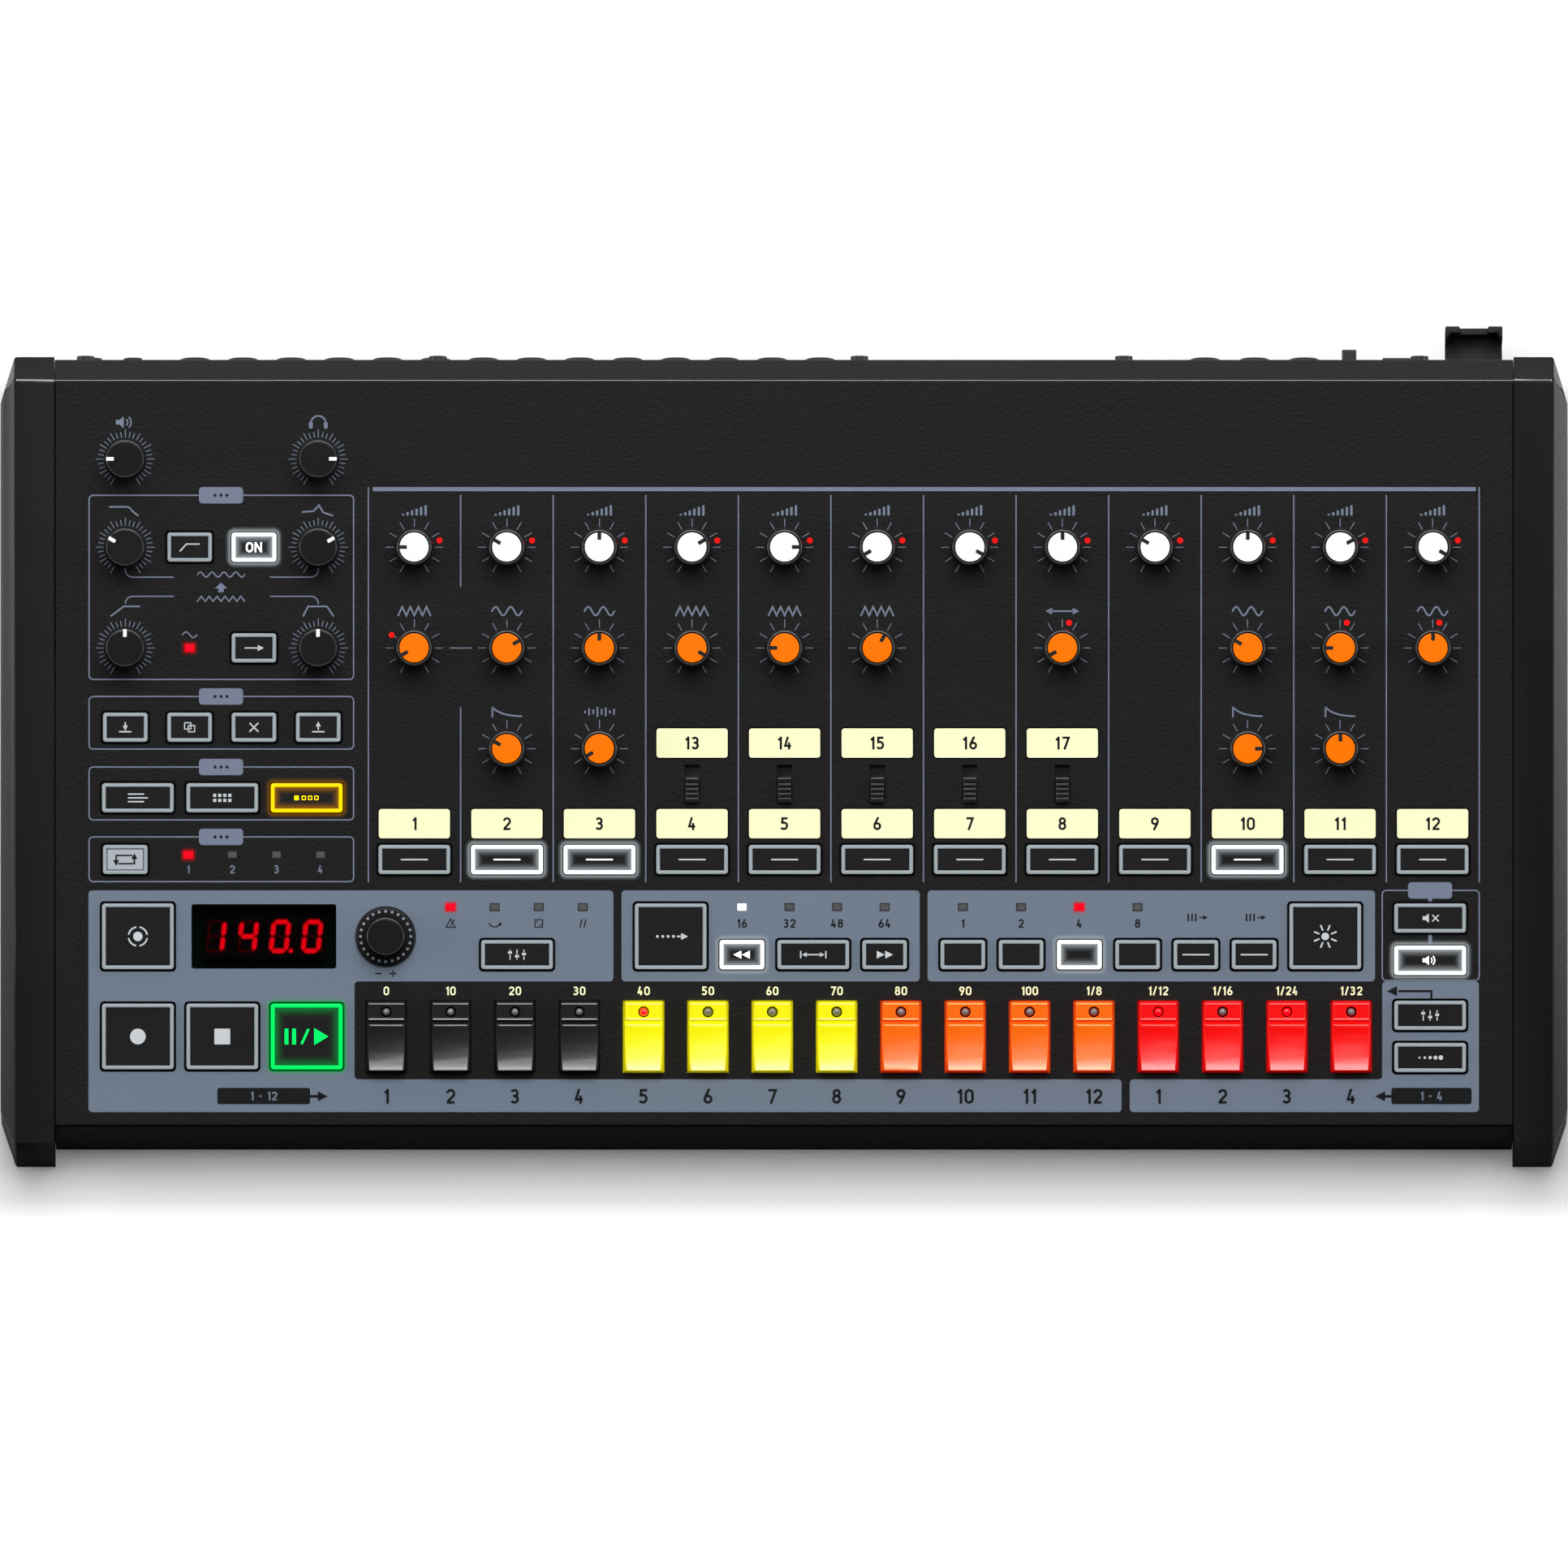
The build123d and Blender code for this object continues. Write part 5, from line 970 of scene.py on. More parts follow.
SPAN_MARK = (line([(-4, -1), (-4, 1)]) + line([(4, -1), (4, 1)]) + line([(-2.6, 0), (2.6, 0)])
             + arrow_head(2.7, 0, 1.5, 90) + arrow_head(-2.7, 0, 1.5, -90))
PLAIN_RULE = line([(-4.1, 0), (4.1, 0)], 0.45)
SLIDER_TIPS = (0.7, -0.5, 0.2)
SLIDERS_MARK = in_row(3, 2.2, lambda i, x: slider(x, SLIDER_TIPS[i]))
FILLING_DOTS = in_row(5, 1.7, lambda i, x: dot(x, 0, 0.3 + 0.11 * i))
TAP_MARK = in_row(4, 90, lambda i, turn: line(arc(0, 0, 3.0, turn + 149, turn + 211, 10), BOLD_LINE)) + dot(0, 0, 1.5)
SCROLL_MARK = (in_row(4, 1.7, lambda i, x: dot(x - 1.65, 0, 0.45)) + line([(2.2, 0), (3.6, 0)], BOLD_LINE)
               + arrow_head(4.2, 0, 2.2, 90))
STRIKE_MARK = in_row(8, math.pi / 4, lambda i, angle: ray(angle + math.pi)) + dot(0, 0, 1.2)
RECORD_MARK = dot(0, 0, 2.5)
STOP_MARK = bar_at(0, 0, 5.0, 5.0, 0.15)
PLAY_PAUSE_MARK = [*bar_at(-6.4, 0, 1.2, 5.0), *bar_at(-4.0, 0, 1.2, 5.0),
                   stroke_outline([(-1.6, -2.4), (0.6, 2.4)], 0.75, False),
                   np.array([(2.4, -2.7), (6.9, 0), (2.4, 2.7)])]
CLOCK_MARK = (line([(-1.5, -1.2), (1.5, -1.2), (0, 1.4), (-1.35, -1.0)], THIN_LINE)
              + line([(0, -0.6), (1.2, 1.1)], THIN_LINE))
SWING_MARK = line(arc(0, 0.9, 2.0, 205, 335, 12), 0.36) + dot(1.75, -0.2, 0.45)
CHANCE_MARK = box_outline(2.4, 2.4, 0, 0, THIN_LINE) + dot(-0.55, 0.55, 0.28) + dot(0.55, -0.55, 0.28)
DOUBLE_STRIKE = line([(-0.9, -1.2), (-0.3, 1.2)], 0.4) + line([(0.4, -1.2), (1.0, 1.2)], 0.4)
REPEAT_MARK = (in_row(3, 1.2, lambda i, x: bar_at(x - 1.2, 0, 0.5, 2.4)) + line([(1.2, 0), (2.2, 0)], 0.36)
               + arrow_head(2.9, 0, 1.5, 90))
BLOCK_ARROW = np.array([(0, 0), (-2.0, -1.9), (-0.85, -1.9), (-0.85, -3.1), (0.85, -3.1), (0.85, -1.9), (2.0, -1.9)])
MORE_LESS = (line([(-3.2, 0), (-1.4, 0)]) + line([(1.4, 0), (3.2, 0)]) + line([(2.3, 0.5), (2.3, 0.95)])
             + line([(2.3, -0.5), (2.3, -0.95)]))


def printed(outlines, x=0.0, v=0.0, low=INK_LOW, high=INK):
    """Flat outlines as thin closed plates on the panel."""
    return together(plate(outline + (x, v), low, high) for outline in outlines)


# ------------------------------------------------------------------ buttons
# Tone 0 is the edge colour: painted shade on idle frames, the dimmer rim light on lit ones.
# inset from the outer edge, height, tone
FRAME_SECTION = [
    (0.0, BUTTON_LOW, 0.0), (0.0, BUTTON_PROUD - 0.4, 0.0), (0.05, BUTTON_PROUD - 0.2, 0.1),
    (0.15, BUTTON_PROUD - 0.06, 0.6), (0.32, BUTTON_PROUD, 1.0), (BUTTON_FRAME - 0.4, BUTTON_PROUD, 1.0),
    (BUTTON_FRAME - 0.2, BUTTON_PROUD - 0.04, 0.6), (BUTTON_FRAME - 0.05, BUTTON_PROUD - 0.2, 0.1),
    (BUTTON_FRAME, BUTTON_PROUD - 0.4, 0.0), (BUTTON_FRAME, BUTTON_LOW, 0.0),
]
OUTLINE_POINTS = len(rounded(1, 1, 0))
FRAME_TONES = np.repeat([tone for _, _, tone in FRAME_SECTION], OUTLINE_POINTS)


def stepped(size, rows):
    """The loops of a rounded rectangle that steps inwards; rows are (inset, height, corner)."""
    return np.stack([level(rounded(size[0] - 2 * inset, size[1] - 2 * inset, corner), height)
                     for inset, height, corner in rows])


def frame_shape(size):
    """A button's frosted frame: its section runs up the outside, over a soft crown and down the inside."""
    return rings(stepped(size, [(inset, height, BUTTON_CORNER - inset) for inset, height, _ in FRAME_SECTION]),
                 joined=True)


SPILL_STEPS = np.linspace(0, 1, 7)
SPILL_FADE = (1 - SPILL_STEPS) ** 2
SPILL_TONES = np.repeat(SPILL_FADE, OUTLINE_POINTS)


def spill_shape(width, length, corner, reach, height):
    """A sheet of light from a rounded outline outwards by reach, or inwards where reach is negative."""
    loops = [level(rounded(width + 2 * reach * t, length + 2 * reach * t, corner + max(reach, 0) * t), height)
             for t in SPILL_STEPS]
    return rings(np.stack(loops))


FACE_TOP = BUTTON_PROUD - 0.12


def face_shape(size):
    """A button's face plate, with a softened upper edge."""
    edge = BUTTON_FRAME + FACE_GAP
    rows = [(edge, BUTTON_LOW, 0.2), (edge, FACE_TOP - 0.15, 0.2), (edge + 0.12, FACE_TOP, 0.2),
            (edge + 0.6, FACE_TOP, 0.2)]
    return rings(stepped(size, rows), True, True)


# x, v, size, light, mark on the face
SELECT_BUTTONS = [(channel_x(i), SELECT_ROW_V, BUTTON_WIDE, "white" if i in (1, 2, 9) else None, PLAIN_RULE)
                  for i in range(CHANNELS)]
SMALL_BUTTONS = [
    (left_x(1), LEVEL_ROW_V, BUTTON_SMALL, None, HIGH_PASS),
    (left_x(2), LEVEL_ROW_V, BUTTON_SMALL, "white", "ON"),
    (left_x(2), TONE_ROW_V, BUTTON_SMALL, None, SEND_ARROW),
    (left_x(0), EDIT_ROW_V, BUTTON_SMALL, None, STORE_MARK),
    (left_x(1), EDIT_ROW_V, BUTTON_SMALL, None, COPY_MARK),
    (left_x(2), EDIT_ROW_V, BUTTON_SMALL, None, CROSS_MARK),
    (left_x(3), EDIT_ROW_V, BUTTON_SMALL, None, LIFT_MARK),
    (MODE_X, MODE_ROW_V, BUTTON_WIDE, None, LIST_LINES),
    (MODE_X + MODE_PITCH, MODE_ROW_V, BUTTON_WIDE, None, GRID_SQUARES),
    (MODE_X + 2 * MODE_PITCH, MODE_ROW_V, BUTTON_WIDE, "yellow", STEP_SQUARES),
    (left_x(0), SELECT_ROW_V, BUTTON_SMALL, "pale", LOOP_ARROWS),
    (DATA_MODE_X, LOWER_ROW_V, BUTTON_WIDE, None, SLIDERS_MARK),
    (LENGTH_X - LENGTH_SIDE_PITCH, LOWER_ROW_V, BUTTON_SMALL, "white", double_arrow(-1)),
    (LENGTH_X, LOWER_ROW_V, BUTTON_WIDE, None, SPAN_MARK),
    (LENGTH_X + LENGTH_SIDE_PITCH, LOWER_ROW_V, BUTTON_SMALL, None, double_arrow(1)),
    *[(REPEAT_X + i * REPEAT_PITCH, LOWER_ROW_V, BUTTON_SMALL, "white" if i == 2 else None,
       PLAIN_RULE if i > 3 else None) for i in range(6)],
    *[(TRACK_X, v, BUTTON_WIDE, light, mark) for v, light, mark in
      zip(TRACK_ROWS_V, (None, "white", None, None), (MUTED_SPEAKER, SPEAKER, SLIDERS_MARK, FILLING_DOTS))],
]
LARGE_BUTTONS = [
    (MODE_X, TRANSPORT_ROW_V, BUTTON_LARGE, None, TAP_MARK),
    (MODE_X, KEY_ROW_V, BUTTON_LARGE, None, RECORD_MARK),
    (MODE_X + MODE_PITCH, KEY_ROW_V, BUTTON_LARGE, None, STOP_MARK),
    (MODE_X + 2 * MODE_PITCH, KEY_ROW_V, BUTTON_LARGE, "green", PLAY_PAUSE_MARK),
    (SCROLL_X, TRANSPORT_ROW_V, BUTTON_LARGE, None, SCROLL_MARK),
    (TRIGGER_X, TRANSPORT_ROW_V, BUTTON_LARGE, None, STRIKE_MARK),
]
ALL_BUTTONS = SELECT_BUTTONS + SMALL_BUTTONS + LARGE_BUTTONS
FRAME_FINISH = {None: IDLE_FRAME, "white": WHITE_FRAME, "yellow": YELLOW_FRAME, "green": GREEN_FRAME,
                "pale": IDLE_FRAME}
FACE_FINISH = {**dict.fromkeys(FRAME_FINISH, BUTTON_FACE), "pale": PALE_FACE}
MARK_FINISH = {None: WHITE_INK, "white": WHITE_LIGHT, "yellow": YELLOW_LIGHT, "green": GREEN_LIGHT, "pale": BLACK_INK}
SPILL_FINISH = {"white": WHITE_SPILL, "yellow": YELLOW_SPILL, "green": GREEN_SPILL}
SPILL_INWARD = {"white": 2.6, "yellow": 2.6, "green": 3.4}
SPILL_OUTWARD = 1.7
INNER_SPILL = {"white": 0.5, "yellow": 0.35, "green": 0.3}
OUTER_SPILL = {"white": 0.55, "yellow": 0.25, "green": 0.5}


def mark_shape(mark, x, v):
    """A button's pictogram or figures, printed on its face."""
    if mark is None:
        return []
    if isinstance(mark, str):
        return [numeral(mark, 3.2, x, v, FACE_TOP - 0.02, FACE_TOP + 0.03)]
    return [printed(mark, x, v, FACE_TOP - 0.02, FACE_TOP + 0.03)]


def dress_buttons(kind, buttons):
    """The frames, faces and marks of one kind of button, one piece for each finish."""
    body, node = f"{kind}_button_group", f"{kind}_buttons"
    stands_for = (node,)
    for light in FRAME_FINISH:
        mine = [button for button in buttons if button[3] == light]
        if not mine:
            continue
        glow = light or "idle"
        frames = [moved(frame_shape(size), x, v) for x, v, size, _, _ in mine]
        make_piece(f"{kind}_{glow}_frames", together(frames), body, FRAME_FINISH[light], stands_for,
                   tones=np.tile(FRAME_TONES, len(mine)))
        stands_for = ()
        faces = [moved(face_shape(size), x, v) for x, v, size, _, _ in mine]
        make_piece(f"{kind}_{glow}_faces", together(faces), body, FACE_FINISH[light])
        marks = [shape for x, v, _, _, mark in mine for shape in mark_shape(mark, x, v)]
        if marks:
            make_piece(f"{kind}_{glow}_marks", together(marks), body, MARK_FINISH[light])
        if light in SPILL_FINISH:
            dress_spills(kind, mine, light)


def dress_spills(kind, buttons, light):
    """Painted light: sheets that glow with the light of lit frames on their own faces and on the panel round them."""
    inner, outer = [], []
    for x, v, (width, length), _, _ in buttons:
        edge = 2 * BUTTON_FRAME
        reach = min(SPILL_INWARD[light], (length - edge) / 2 - 0.1)
        inner.append(moved(spill_shape(width - edge, length - edge, 0.2, -reach, FACE_TOP + 0.012), x, v))
        gap = 2 * CONTROL_GAP
        outer.append(moved(spill_shape(width + gap, length + gap, 1.3, SPILL_OUTWARD, SECOND_INK + 0.02), x, v))
    tones = np.tile(SPILL_TONES, len(buttons))
    make_piece(f"{kind}_{light}_face_glow", together(inner), f"{kind}_button_group", SPILL_FINISH[light],
               tones=tones * INNER_SPILL[light])
    make_piece(f"{kind}_{light}_panel_glow", together(outer), "chassis", SPILL_FINISH[light],
               tones=tones * OUTER_SPILL[light])


# ------------------------------------------------------------------ keys, lamps and display
def dress_keys():
    """The step keys' mouldings, one piece for each colour."""
    finishes = {"black": BLACK_KEY, "yellow": YELLOW_KEY, "orange": ORANGE_KEY, "red": RED_KEY}
    for colour, material in finishes.items():
        eased_copy(f"step_keys_{colour}", f"{colour}_keys_eased", f"{colour}_key_group", material,
                   0.0003)


KEY_LEDGE_TOP = 3.4
PAD_REAR = (3.8, 3.0)
PAD_MIDDLE = (-3.45, 3.2)
PAD_FRONT = (-10.7, 5.2)
# Painted highlights on each key: light strips where its edges would catch the light.
# how far up the key, breadth, height over the panel, half length
KEY_HIGHLIGHTS = [(10.4, 0.32, KEY_LEDGE_TOP, 5.6), (5.55, 0.45, KEY_LEDGE_TOP, 5.6), (3.58, 0.34, None, 5.2),
             (-10.0, 0.22, None, 4.9)]


def pad_height(v):
    """The height of a key's scooped pad: the parabola through its rear, middle and front."""
    return float(np.polyval(np.polyfit(*np.transpose([PAD_REAR, PAD_MIDDLE, PAD_FRONT]), 2), v))


def key_edges():
    """Painted highlights along one key's edges, as thin light strips that lie on the ledge and the pad."""
    strips = []
    for v, breadth, height, half in KEY_HIGHLIGHTS:
        ends = [(-half, v - breadth / 2), (half, v - breadth / 2), (half, v + breadth / 2), (-half, v + breadth / 2)]
        heights = [height if height else pad_height(y) for _, y in ends]
        loops = [np.array([(x, y, h + rise) for (x, y), h in zip(ends, heights)]) for rise in (0.0, 0.03)]
        strips.append(rings(np.stack(loops), True, True))
    return together(strips)


def dress_key_edges():
    """Painted highlights: light strips along each key's ledge, groove and pad, where its edges would catch the light.
    """
    finishes = {"black": KEY_HIGHLIGHT_BLACK, "yellow": KEY_HIGHLIGHT_YELLOW, "orange": KEY_HIGHLIGHT_ORANGE, "red": KEY_HIGHLIGHT_RED}
    for group, (colour, material) in enumerate(finishes.items()):
        keys = range(4 * group, 4 * group + 4)
        shape = together(moved(key_edges(), key_x(key), KEY_ROW_V) for key in keys)
        make_piece(f"{colour}_key_edges", shape, f"{colour}_key_group", material)


def lamp_shape():
    """A square lamp with a softened upper edge."""
    rows = [(0.0, -2.0, 0.15), (0.0, 0.05, 0.15), (0.12, 0.18, 0.15), (0.5, 0.2, 0.15)]
    return rings(stepped(LAMP_SIZE, rows), True, True)


# Tones of a square lamp's rows: its walls and soft edge take the painted shade.
LAMP_TONES = np.repeat([0.0, 0.0, 0.3, 1.0], OUTLINE_POINTS)
DOME_ROWS = 10
DOME_STEPS = 40
DOME_RADIUS = 1.3
DOME_TOP = 3.25


def dome_shape():
    """A round lamp: a short stem under half a sphere."""
    t = np.radians(np.linspace(0, 84, DOME_ROWS))
    dome = [(DOME_RADIUS * math.cos(a), DOME_TOP - DOME_RADIUS + DOME_RADIUS * math.sin(a)) for a in t]
    return turned([(DOME_RADIUS, 0.0), *dome], DOME_STEPS)


# Tones of a dome's rows: darker towards its base, a painted shade.
DOME_TONES = np.repeat([0.0, *np.linspace(0, 1, DOME_ROWS) ** 0.5], DOME_STEPS)
LAMPS = [
    (left_x(1), TONE_ROW_V, "red"),
    *[(SYNC_LAMP_X + i * SYNC_LAMP_PITCH, SYNC_LAMP_V, "red" if i == 0 else "off") for i in range(4)],
    *[(TEMPO_LAMP_X + i * SYNC_LAMP_PITCH, UPPER_LAMP_V, "red" if i == 0 else "off") for i in range(4)],
    *[(LENGTH_X - LENGTH_SIDE_PITCH + i * LENGTH_LAMP_PITCH, UPPER_LAMP_V, "white" if i == 0 else "off")
      for i in range(4)],
    *[(REPEAT_X + i * REPEAT_PITCH, UPPER_LAMP_V, "red" if i == 2 else "off") for i in range(4)],
]
LIT_KEYS = (4, 12, 14)


def dress_lamps():
    """The square lamps with a painted glow round the red ones, and the keys' round lamps."""
    stands_for = ("panel_lamps",)
    for state, material in {"red": RED_LIGHT, "white": WHITE_LIGHT, "off": LAMP_OFF}.items():
        places = [(x, v) for x, v, shows in LAMPS if shows == state]
        shape = together(moved(lamp_shape(), x, v) for x, v in places)
        make_piece(f"square_lamps_{state}", shape, "chassis", material, stands_for,
                   tones=np.tile(LAMP_TONES, len(places)))
        stands_for = ()
    red = [(x, v) for x, v, shows in LAMPS if shows == "red"]
    glow = together(moved(spill_shape(*LAMP_SIZE, 0.15, 1.5, SECOND_INK + 0.02), x, v) for x, v in red)
    make_piece("square_lamps_glow", glow, "chassis", RED_SPILL,
               tones=np.tile(SPILL_TONES, len(red)) * 0.45)
    for state, material in (("lit", DOME_LIT), ("off", DOME_OFF)):
        keys = [i for i in range(KEY_COUNT) if (i in LIT_KEYS) == (state == "lit")]
        shape = together(moved(dome_shape(), key_x(i), KEY_LED_V) for i in keys)
        make_piece(f"key_lamps_{state}", shape, "chassis", material,
                   tones=np.tile(DOME_TONES, len(keys)))


SEGMENTS = {"0": "abcdef", "1": "bc", "4": "bcfg"}
DIGIT_SIZE = (4.75, 9.2)
DIGIT_PITCH = 10.2
LIT_WIDTH = 1.4
UNLIT_WIDTH = 1.0
DIGIT_SLANT = 0.11
DISPLAY_FACE_SIZE = (38.9, 14.1)


def segment(name, width):
    """One bar of a seven-bar digit, pointed at both ends, as an outline round the digit's centre."""
    x, y = DIGIT_SIZE[0] / 2, DIGIT_SIZE[1] / 2
    ends = {"a": ((-x, y), (x, y)), "g": ((-x, 0), (x, 0)), "d": ((-x, -y), (x, -y)), "b": ((x, 0), (x, y)),
            "c": ((x, -y), (x, 0)), "f": ((-x, 0), (-x, y)), "e": ((-x, -y), (-x, 0))}[name]
    start, end = np.array(ends, dtype=float)
    along = (end - start) / np.linalg.norm(end - start)
    side = np.array([-along[1], along[0]]) * width / 2
    start, end = start + along * width * 0.1, end - along * width * 0.1
    shoulder = along * width / 2
    outline = np.array([start, start + shoulder - side, end - shoulder - side, end, end - shoulder + side,
                        start + shoulder + side])
    return outline + np.column_stack([outline[:, 1] * DIGIT_SLANT, np.zeros(6)])


def dress_display():
    """The smoked window over the display's face, with the lit and unlit bars of its four digits and a painted glow
    round the lit ones.
    """
    rows = [(0.1, -1.8, 0.8), (0.1, 0.05, 0.8), (0.22, WINDOW_TOP, 0.68), (0.7, WINDOW_TOP, 0.2)]
    window = moved(rings(stepped(DISPLAY_SIZE, rows), True, True), DISPLAY_X, TRANSPORT_ROW_V)
    make_piece("display_pane", window, "chassis", SMOKED, ("display_window",))
    face = moved(plate(rounded(*DISPLAY_FACE_SIZE, 0.3), MODULE_TOP - 0.02, MODULE_TOP + 0.02), DISPLAY_X,
                 TRANSPORT_ROW_V)
    make_piece("display_face", face, "chassis", DISPLAY_FACE)
    lit, unlit, glow, tones = [], [], [], []
    low, high = MODULE_TOP, MODULE_TOP + 0.05
    for place, digit in enumerate("1400"):
        x = DISPLAY_X + (place - 1.5) * DIGIT_PITCH
        shows = [name in SEGMENTS[digit] for name in "abcdefg"]
        outlines = [segment(name, LIT_WIDTH if on else UNLIT_WIDTH) for name, on in zip("abcdefg", shows)]
        shows.append(place == 2)
        outlines.append(circle(0.62 if place == 2 else 0.42, 20) + (3.45, -DIGIT_SIZE[1] / 2))
        for outline, on in zip(outlines, shows):
            outline = outline + (x, TRANSPORT_ROW_V)
            (lit if on else unlit).append(plate(outline, low, high))
            if on:
                glow.append(rings(np.stack([level(spread(outline, 0.75 * t), high + 0.02) for t in SPILL_STEPS])))
                tones.append(np.repeat(SPILL_FADE, len(outline)) * 0.5)
    make_piece("display_bars_lit", together(lit), "chassis", SEGMENT_LIGHT)
    make_piece("display_bars_unlit", together(unlit), "chassis", SEGMENT_OFF)
    make_piece("display_glow", together(glow), "chassis", RED_SPILL, tones=np.concatenate(tones))


# ------------------------------------------------------------------ printing on the panel
BOX_LEFT, BOX_RIGHT = -220.7, -136.7
BOX_SPANS = ((142.0, 200.5), (119.9, 136.6), (97.4, 114.2), (77.8, 92.0))
TAB_X = -178.8
TAB_SIZE = (14.0, 5.2)
HEADER_LEFT, HEADER_RIGHT = -130.6, 219.7
HEADER_LOW, HEADER_HIGH = 201.8, 203.1
GRID_LEFT, GRID_RIGHT = -132.0, 220.8
GRID_LOW, GRID_HIGH = 77.6, 203.1
CHANNEL_RULE_HIGH = 200.6
# The stretch that the second channel's left rule leaves out.
RULE_GAP = (133.2, 171.4)
RULE_LINK_REACH = 3.5
# Where each pair of brackets runs level, and where it starts at its knobs.
BRACKET_ROWS = ((174.5, 177.3), (168.4, 166.0))
LEFT_WAVE_V, LEFT_ARROW_V, LEFT_ZIGZAG_V = 175.3, 172.8, 167.6
BLUE_HIGH, BLUE_LOW = 75.0, 4.6
BLUE_LEFT, BLUE_RIGHT = -220.9, 220.7
INSET_LEFT, INSET_RIGHT = -136.4, 190.0
INSET_HIGH, INSET_LOW = 46.1, 15.0
LENGTH_RIGHT, REPEAT_LEFT = 43.1, 45.6
STEP_LEFT, STEP_RIGHT = -54.2, -51.6
TRACK_LEFT, REPEAT_RIGHT = 190.0, 187.7
TRACK_LOW = 46.4
# Start and end of the short lines over and between the track buttons.
TRACK_LINKS = ((72.4, 71.2), (61.2, 57.8))
TRACK_LINK_WIDTH = 1.2
NUMBERS_RIGHT, PATTERN_LEFT = 107.2, 109.8
CORNER = 1.2
BOX_CORNER = 1.3
KEY_NUMBER_V = 9.6
TAG_LOW, TAG_HIGH = 7.1, 12.3
# left, right, then the arrow's start, end, tip and turn
TAGS = ((-180.0, -150.5, -150.5, -147.6, -146.8, 90), (192.9, 218.4, 192.9, 190.6, 189.6, -90))
SCALE_V = 43.1
LAMP_TEXT_V = 64.5
REPEAT_MARK_V = 66.4
DATA_MARK_V = 48.6
PLATE_V, SLIDE_PLATE_V = 96.2, 121.8
SMALL_TEXT, PLATE_TEXT, KEY_TEXT = 2.8, 4.1, 4.7
CREAM_SIZE = (22.6, 9.3)
CREAM_PLACES = [*((channel_x(i), PLATE_V) for i in range(CHANNELS)),
                *((channel_x(i), SLIDE_PLATE_V) for i in SLIDE_CHANNELS)]


def line_box(left, right, low, high):
    """A rounded box drawn with a line of even width."""
    loops = [block(left - grow, right + grow, low - grow, high + grow, BOX_CORNER + grow)
             for grow in (LINE_WIDTH / 2, -LINE_WIDTH / 2)]
    return band(*loops, INK_LOW, INK)


def rule(x0, v0, x1, v1, width=0.4):
    """A straight printed line with square ends."""
    return plate(stroke_outline([(x0, v0), (x1, v1)], width, False), INK_LOW, INK)


def block(left, right, low, high, corner=CORNER):
    """A filled rounded box's outline."""
    return rounded(right - left, high - low, corner, 8) + ((left + right) / 2, (low + high) / 2)


LONG_TICKS = range(-150, 151, 30)
SHORT_TICKS = [angle for angle in range(-150, 151, 10) if angle % 30]


def tick_marks(x, v, angles, near, far):
    """Short radial lines round a knob, at angles clockwise from straight up."""
    tick = rule(0, near, 0, far, 0.27)
    return [moved(tick, x, v, 0, angle) for angle in angles]


def dial_prints():
    """The scale round every knob that has stops."""
    marks = []
    for name in knob_limits():
        x, v = panel_place(name)
        if is_capped(name):
            marks += tick_marks(x, v, LONG_TICKS, 6.5, 9.1)
        else:
            marks += tick_marks(x, v, LONG_TICKS, 6.9, 9.4) + tick_marks(x, v, SHORT_TICKS, 6.9, 8.7)
    return marks


LABEL_RISE = 11.7
LABEL_SIZE = 1.25
TONE_MARKS = {1: ZIGZAG, 2: WAVE, 3: WAVE, 4: ZIGZAG, 5: ZIGZAG, 6: ZIGZAG, 8: SHIFT_MARK, 10: WAVE, 11: WAVE,
              12: WAVE}
DECAY_MARKS = {2: FALLING_CURVE, 3: BURST, 10: FALLING_CURVE, 11: FALLING_CURVE}
LEFT_MARKS = {"master_knob": SPEAKER, "phones_knob": HEADPHONES, "cutoff_knob": LOW_PASS, "resonance_knob": PEAK,
              "attack_knob": RAMP_UP, "sustain_knob": PLATEAU}


def label_prints():
    """Pictograms over the knobs and under the square lamp."""
    places = [(RISING_BARS, channel_x(i), LEVEL_ROW_V) for i in range(CHANNELS)]
    places += [(mark, channel_x(i - 1), TONE_ROW_V) for i, mark in TONE_MARKS.items()]
    places += [(mark, channel_x(i - 1), DECAY_ROW_V) for i, mark in DECAY_MARKS.items()]
    places += [(mark, *panel_place(name)) for name, mark in LEFT_MARKS.items()]
    marks = [printed([outline * LABEL_SIZE for outline in mark], x, v + LABEL_RISE) for mark, x, v in places]
    marks.append(printed(wave(4.6, 0.9, 1), left_x(1), TONE_ROW_V + 4.2))
    marks += [numeral(str(i + 1), 2.6, SYNC_LAMP_X + i * SYNC_LAMP_PITCH, SYNC_LAMP_V - 4.6) for i in range(4)]
    return marks


def bracket(side, level_v, knob_v):
    """A line that drops or rises from a knob with a rounded bend and runs towards the middle."""
    radius = 2.3
    start = LEFT_X if side < 0 else left_x(3)
    drops = knob_v > level_v
    corner = arc(radius, level_v + (radius if drops else -radius), radius, 180, 270 if drops else 90, 8)
    path = np.vstack([[(0, knob_v)], corner, [(15.4, level_v)]]) * (-side, 1) + (start, 0)
    return stroke_outline(path, 0.4, False)


